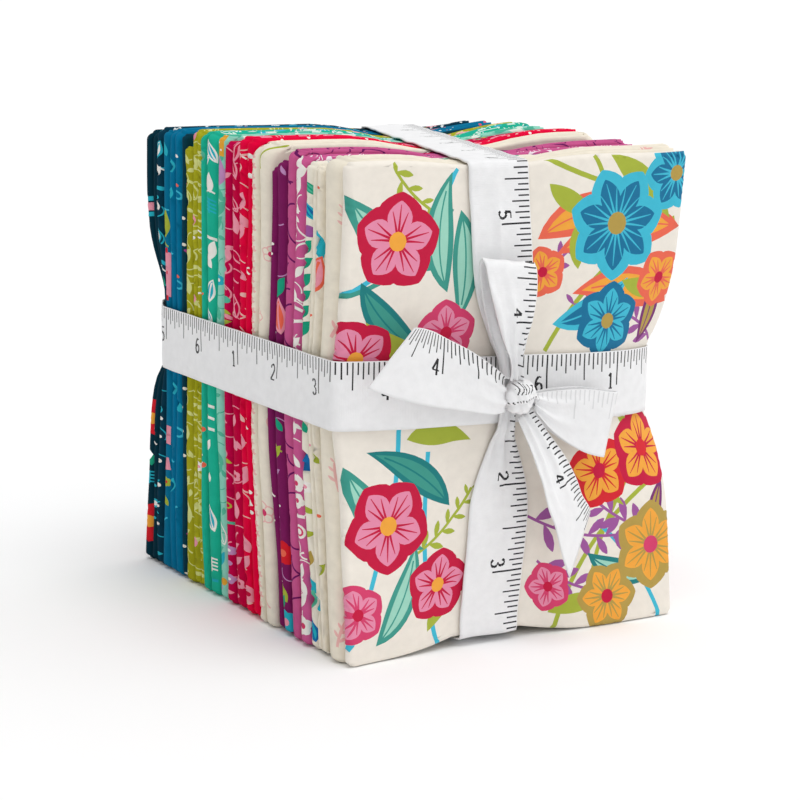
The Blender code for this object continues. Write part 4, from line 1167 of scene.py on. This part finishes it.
def motif(tree, kind, place, size, reach, seed):
    """A mask, 1 on the print: size is the spacing and reach the motif's own size, in millimetres."""

    def get(operation, *values):
        return calc(tree, operation, *values)

    if kind in ("loops", "vine"):
        sockets = {"Vector": place, "W": seed, "Scale": 1 / size, "Detail": 0}
        field = added(tree, "TexNoise", sockets, noise_dimensions="4D")
        waves = get("FRACT", get("MULTIPLY", field.outputs[0], 5 if kind == "loops" else 2.2))
        return get("LESS_THAN", get("ABSOLUTE", get("SUBTRACT", waves, 0.5)), reach)
    along, aside = cell(tree, place, size, seed)
    distance = get("SQRT", get("ADD", get("POWER", along, 2), get("POWER", aside, 2)))
    if kind == "dot":
        return get("LESS_THAN", distance, reach)
    if kind == "ring":
        return get("LESS_THAN", get("ABSOLUTE", get("SUBTRACT", distance, reach)), reach * 0.2)
    if kind in ("flower", "flower_line"):
        lobes = get("COSINE", get("MULTIPLY", get("ARCTAN2", aside, along), 5))
        edge = get("SUBTRACT", get("MULTIPLY_ADD", lobes, reach * 0.3, reach * 0.7), distance)
        if kind == "flower":
            return get("GREATER_THAN", edge, 0)
        return get("LESS_THAN", get("ABSOLUTE", edge), reach * 0.09)
    if kind == "leaf":
        return get("GREATER_THAN", leaf_edge(get, along, aside, reach, reach * 0.36), 0)
    out = get("ABSOLUTE", aside)
    if kind == "leaf_line":
        edge = leaf_edge(get, along, aside, reach, reach * 0.38)
        outline = get("LESS_THAN", get("ABSOLUTE", edge), 0.17)
        vein = get("MULTIPLY", get("LESS_THAN", out, 0.12), get("GREATER_THAN", edge, 0))
        return get("MAXIMUM", outline, vein)
    inside = get("LESS_THAN", get("ABSOLUTE", along), reach)
    if kind == "dash":
        return get("MULTIPLY", get("LESS_THAN", out, reach * 0.22), inside)
    # A sprig: a line with slanting leaflets on both sides
    pitch = reach * 0.34
    run = get("DIVIDE", get("MULTIPLY_ADD", out, -0.8, along), pitch)
    gap = get("MULTIPLY", get("ABSOLUTE", get("SUBTRACT", get("FRACT", run), 0.5)), pitch)
    bow = get("POWER", get("DIVIDE", out, reach * 0.55), 2)
    width = get("MULTIPLY_ADD", bow, -pitch * 0.36, pitch * 0.36)
    leaves = get("GREATER_THAN", get("SUBTRACT", width, gap), 0)
    return get("MULTIPLY", get("MAXIMUM", leaves, get("LESS_THAN", out, 0.16)), inside)


# Each cotton's ground and its printed motifs: kind, colour, spacing, size and seed
PRINTS = {
    "cream_broad": "efe7d6, sprig eab3b0 24 4.5 1, flower e9a3a6 31 1.6 4",
    "cream_bits": "efe7d6, leaf e58f9a 13 3.6 2, leaf 25a0b8 15 3.4 7, dot f0714f 17 .8 5",
    "leaf_stripe": """efe9da, leaf 2aa183 5.6 3.3 3, leaf 1d86a8 12 3 8, dot a45aa0 14 1.3 2,
        leaf aab93c 11 2.4 11""",
    "pink_leaf": "cc5c93, leaf f3e6ee 6.4 3.4 4, leaf_line f3e6ee 8.5 4.2 9, vine f3e6ee 12 .035 3",
    "magenta_loop": "c95a90, loops 6a1a5e 9 .05 5",
    "purple_petal": """7c1d5c, leaf e98fa0 15 4 6, leaf 178f7e 17 3.8 12, leaf b9b53a 21 3 3,
        dot d61f3c 26 2.4 7, flower 2aa5cf 34 4 2, dot efdfe6 12 .4 9""",
    "purple_plain": "7c1a5a, dash e9dbe4 26 1.6 7, dot e9dbe4 19 .45 3",
    "cream_sprig": "efe7d6, flower_line dd7f95 23 3 8, dash e5a0a6 16 1 2",
    "red_dot": "e6003c, dot f4ece8 8 .55 9, dash f4ece8 15 1.5 4",
    "red_leaf": "e60440, leaf ee8fa6 8.5 3.8 10, leaf_line f3b2bf 10 4.4 4",
    "crimson_leaf": "c3003f, leaf ec93ab 9 4 11, leaf_line ec93ab 10 4.4 6, vine ec93ab 14 .03 2",
    "crimson_bits": """c20048, leaf c88ac0 10 3 12, leaf 2aa183 13 2.2 5, dot c2bd3a 9 .7 6,
        flower ec93ab 14 2.4 3, dot ec93ab 6.5 .4 1""",
    "aqua_pale": """90d7c2, leaf 4fb69a 8.5 3.8 13, leaf e6f0e4 13 3.6 5, flower e0a33a 30 3.4 4,
        leaf b882b8 21 4.4 2, dot 2aa5b8 18 1.1 8""",
    "aqua_leaf": """20b496, leaf dcefe2 10 4 14, leaf 3fb6cf 13 3.2 14, leaf_line eaf4ec 11 4.6 3,
        dash eaf4ec 12 1.4 5""",
    "lime_leaf": """acaa22, leaf_line e2e4a0 9 4.2 15, vine e2e4a0 10 .035 6, flower efa7b8 17 1.8 3,
        dot f2efdd 13 .5 8""",
    "lime_plain": "a5a31f, leaf cfd277 8.5 4 16, vine cfd277 12 .03 9",
    "navy_bits": "0a3a4a, flower b04a96 9 2.4 17, leaf 1f9e96 8 2.8 3, dot e9e4d8 6 .5 5",
    "teal_ring": """02729a, ring 2fa6bd 7.5 1.4 18, dot ea5a76 12 .55 4, leaf 0f8f9c 9 2.8 7,
        dot d9eef0 14 .5 2""",
    "teal_plain": """026f94, leaf 12a0b4 9 2.8 19, dash ea8fa3 24 3.6 4, leaf b9bd2f 19 2.6 8,
        dot d9eef0 10 .5 3""",
    "navy_leaf": """06384c, leaf 56bcd2 9 3.2 20, leaf_line e4ecec 9.5 3.8 5, leaf e8ecea 12 1.8 9,
        dot e8ecea 8 .5 4""",
    "navy_back": """03303f, leaf 4fb6c8 11 3.6 21, flower c8283c 25 5 5, flower ee8f9f 19 2.8 7,
        leaf 1f8f80 10 2.8 3, leaf c9b93a 23 3.4 2, dot e8ecea 9 .5 6""",
}


# Roughness, sheen and gloss, then the threads' spacing and depth and whether they are ribs, then the wear
COTTON_CLOTH = ((0.9, 0.01, 0.06), (0.45, 0.05), (0.24, 0.86))
FRONT_CLOTH = ((0.82, 0.12, 0.2), (0.45, 0.05), (0.14, 0.92))
RIBBON_CLOTH = ((0.55, 0.1, 0.2), (0.5, 0.06, True), (0.14, 0.92))


def cotton_colour(name):
    """The quarter's ground and motifs, under what is placed on its folds."""

    def colour(tree, place):
        ground, *motifs = PRINTS[name].split(",")
        found = ink(ground)
        for row in motifs:
            kind, tint, *sizes = row.split()
            found = mixed(tree, motif(tree, kind, place, *map(float, sizes)), found, ink(tint))
        if name in MOTIFS:
            found = mixed(tree, attribute(tree, "print", "Alpha"), found, attribute(tree, "print", "Color"))
        return found

    return colour


def printed_colour(tree, _):
    """The parted faces' own colours."""
    return attribute(tree, "print", "Color")


def cloth_material(name, colour, surface, weave, wear):
    """colour(tree, place) gives the cloth's colour; surface, weave and wear are one of the rows above."""
    material, tree, shader = blank(name, *surface)
    place = attribute(tree, "cloth", "Vector")
    worn = calc(tree, "MULTIPLY_ADD", weave_bump(tree, shader, place, *weave), *wear)
    tint = added(tree, "VectorMath", {0: colour(tree, place), "Scale": worn}, operation="SCALE")
    tree.links.new(tint.outputs[0], shader.inputs["Base Color"])
    return material


# The pieces

FRONT_STEPS = [i / 46 for i in range(47)]
FRONT_LEVELS, COTTON_LEVELS = 2.5, 3.5


def outer_first(folded):
    """The printed face of a quarter is its outer one."""
    return lambda u, v, side: folded(u, v, -side)


def finish_piece(piece, name, material):
    piece.data.materials.append(material)
    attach(piece, "root")
    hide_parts(name)


def add_quarters():
    start = 0
    for row in QUARTERS:
        name, share, folds = row[:3]
        folded = Folded(row, start)
        if name == "print_front":
            along, up, ground = folded.stations(FRONT_STEPS), folded.levels(FRONT_LEVELS), CREAM
            shapes = front_shapes(folded)
            material = cloth_material("cotton_" + name, printed_colour, *FRONT_CLOTH)
        else:
            along, up, ground = folded.stations(RUN_STEPS), folded.levels(COTTON_LEVELS), NO_INK
            shapes = fold_shapes(folded, name, ink(PRINTS[name].split(",")[0]))
            material = cloth_material("cotton_" + name, cotton_colour(name), *COTTON_CLOTH)
        piece = inlaid_sheet("quarter_" + name, along, up, outer_first(folded), ground, shapes)
        finish_piece(piece, name, material)
        start += share


def add_ribbons():
    weave = cloth_material("ribbon_weave", printed_colour, *RIBBON_CLOTH)
    level = Ribbon(level_stations(), True)
    upright = Ribbon(upright_stations(), True)
    front = -DEPTH / 2
    upright.creases = (
        (upright.nearest(-6, front, 121), 16, -1, 0.9),
        (upright.nearest(-6, front, 40), 24, 2, -0.5),
    )
    # Each: name, ribbon, whether it is closed, a figure's place, that figure and the way figures run
    pieces = (
        ("ribbon_level", level, True, level.nearest(-40.6, front, 86), 4, 1),
        ("ribbon_upright", upright, True, upright.nearest(1.5, front, 121.6), 5, -1),
        ("loop_up", Ribbon(bow_stations(LOOP_UP), False, 1), False, 17, 4, -1),
        ("loop_right", Ribbon(bow_stations(LOOP_RIGHT), False, 2), False, 14, None, 1),
        ("tail_left", Ribbon(bow_stations(TAIL_LEFT), False, 3), False, 23, 4, -1),
        ("tail_low", Ribbon(bow_stations(TAIL_LOW), False, 4), False, 50, 5, 1),
    )
    for name, ribbon, closed, *rule in pieces:
        shapes = rule_shapes(ribbon.length, *rule, FAINT if name == "loop_right" else INK)
        piece = ribbon_piece("tie_" + name, ribbon, shapes, closed)
        finish_piece(piece, name, weave)
    finish_piece(knot_piece(), "knot", weave)


# Floor, light and camera

FOCAL_PX, IMAGE_PX, SENSOR = 2315, 800, 36
FLOOR_REACH, FLOOR_BELOW = 30, 0.0002
AZIMUTH, ELEVATION, ROLL, DISTANCE = -30.25, 10.9, 0.8, 716.5
AIM = Vector((-2.5, -2.5, 60.2))


def add_camera():
    a, e, r = (math.radians(angle) for angle in (AZIMUTH, ELEVATION, ROLL))
    back = Vector((math.sin(a) * math.cos(e), -math.cos(a) * math.cos(e), math.sin(e)))
    right = Vector((math.cos(a), math.sin(a), 0))
    up = back.cross(right)
    across = math.cos(r) * right + math.sin(r) * up
    upward = -math.sin(r) * right + math.cos(r) * up
    data = bpy.data.cameras.new("camera")
    data.sensor_width = SENSOR
    data.lens = FOCAL_PX * SENSOR / IMAGE_PX
    data.clip_start, data.clip_end = 0.01, 50
    camera = bpy.data.objects.new("camera", data)
    camera.matrix_world = Matrix.Translation((AIM + STAND + back * DISTANCE) * MM) @ Matrix(
        (across, upward, back)
    ).transposed().to_4x4()
    bpy.context.scene.collection.objects.link(camera)
    bpy.context.scene.camera = camera


def add_floor():
    mesh = bpy.data.meshes.new("floor")
    corners = [(x * FLOOR_REACH, y * FLOOR_REACH, 0) for x, y in ((-1, -1), (1, -1), (1, 1), (-1, 1))]
    mesh.from_pydata(corners, [], [(0, 1, 2, 3)])
    floor = bpy.data.objects.new("floor", mesh)
    floor.location.z = -FLOOR_BELOW
    bpy.context.scene.collection.objects.link(floor)
    material, _, shader = blank("floor_paper", 0.9, 0, 0.2)
    shader.inputs["Base Color"].default_value = (0.95, 0.95, 0.95, 1)
    mesh.materials.append(material)


# A white studio, a little dimmer on the left, and one broad soft lamp from above and a little in front
SUN_FROM, SUN_ANGLE, SUN_STRENGTH = (0.0, -0.22, 0.98), 40, 1.15
STUDIO, STUDIO_SLOPE = 0.66, (0.32, -0.05, 0.13)


def add_lights():
    data = bpy.data.lights.new("sun", "SUN")
    data.angle = math.radians(SUN_ANGLE)
    data.energy = SUN_STRENGTH
    lamp = bpy.data.objects.new("sun", data)
    lamp.rotation_euler = (-Vector(SUN_FROM)).to_track_quat("-Z", "Y").to_euler()
    bpy.context.scene.collection.objects.link(lamp)
    world = bpy.data.worlds.new("studio")
    world.use_nodes = True
    tree = world.node_tree
    backdrop = tree.nodes["Background"]
    backdrop.inputs[0].default_value = (1, 1, 1, 1)
    generated = added(tree, "TexCoord", {}).outputs["Generated"]
    facing = added(tree, "VectorMath", {0: generated, 1: STUDIO_SLOPE}, operation="DOT_PRODUCT")
    tree.links.new(calc(tree, "ADD", facing.outputs["Value"], STUDIO), backdrop.inputs[1])
    bpy.context.scene.world = world
    bpy.context.scene.view_settings.view_transform = "Standard"


add_quarters()
add_ribbons()
add_floor()
add_lights()
add_camera()

bpy.context.view_layer.update()
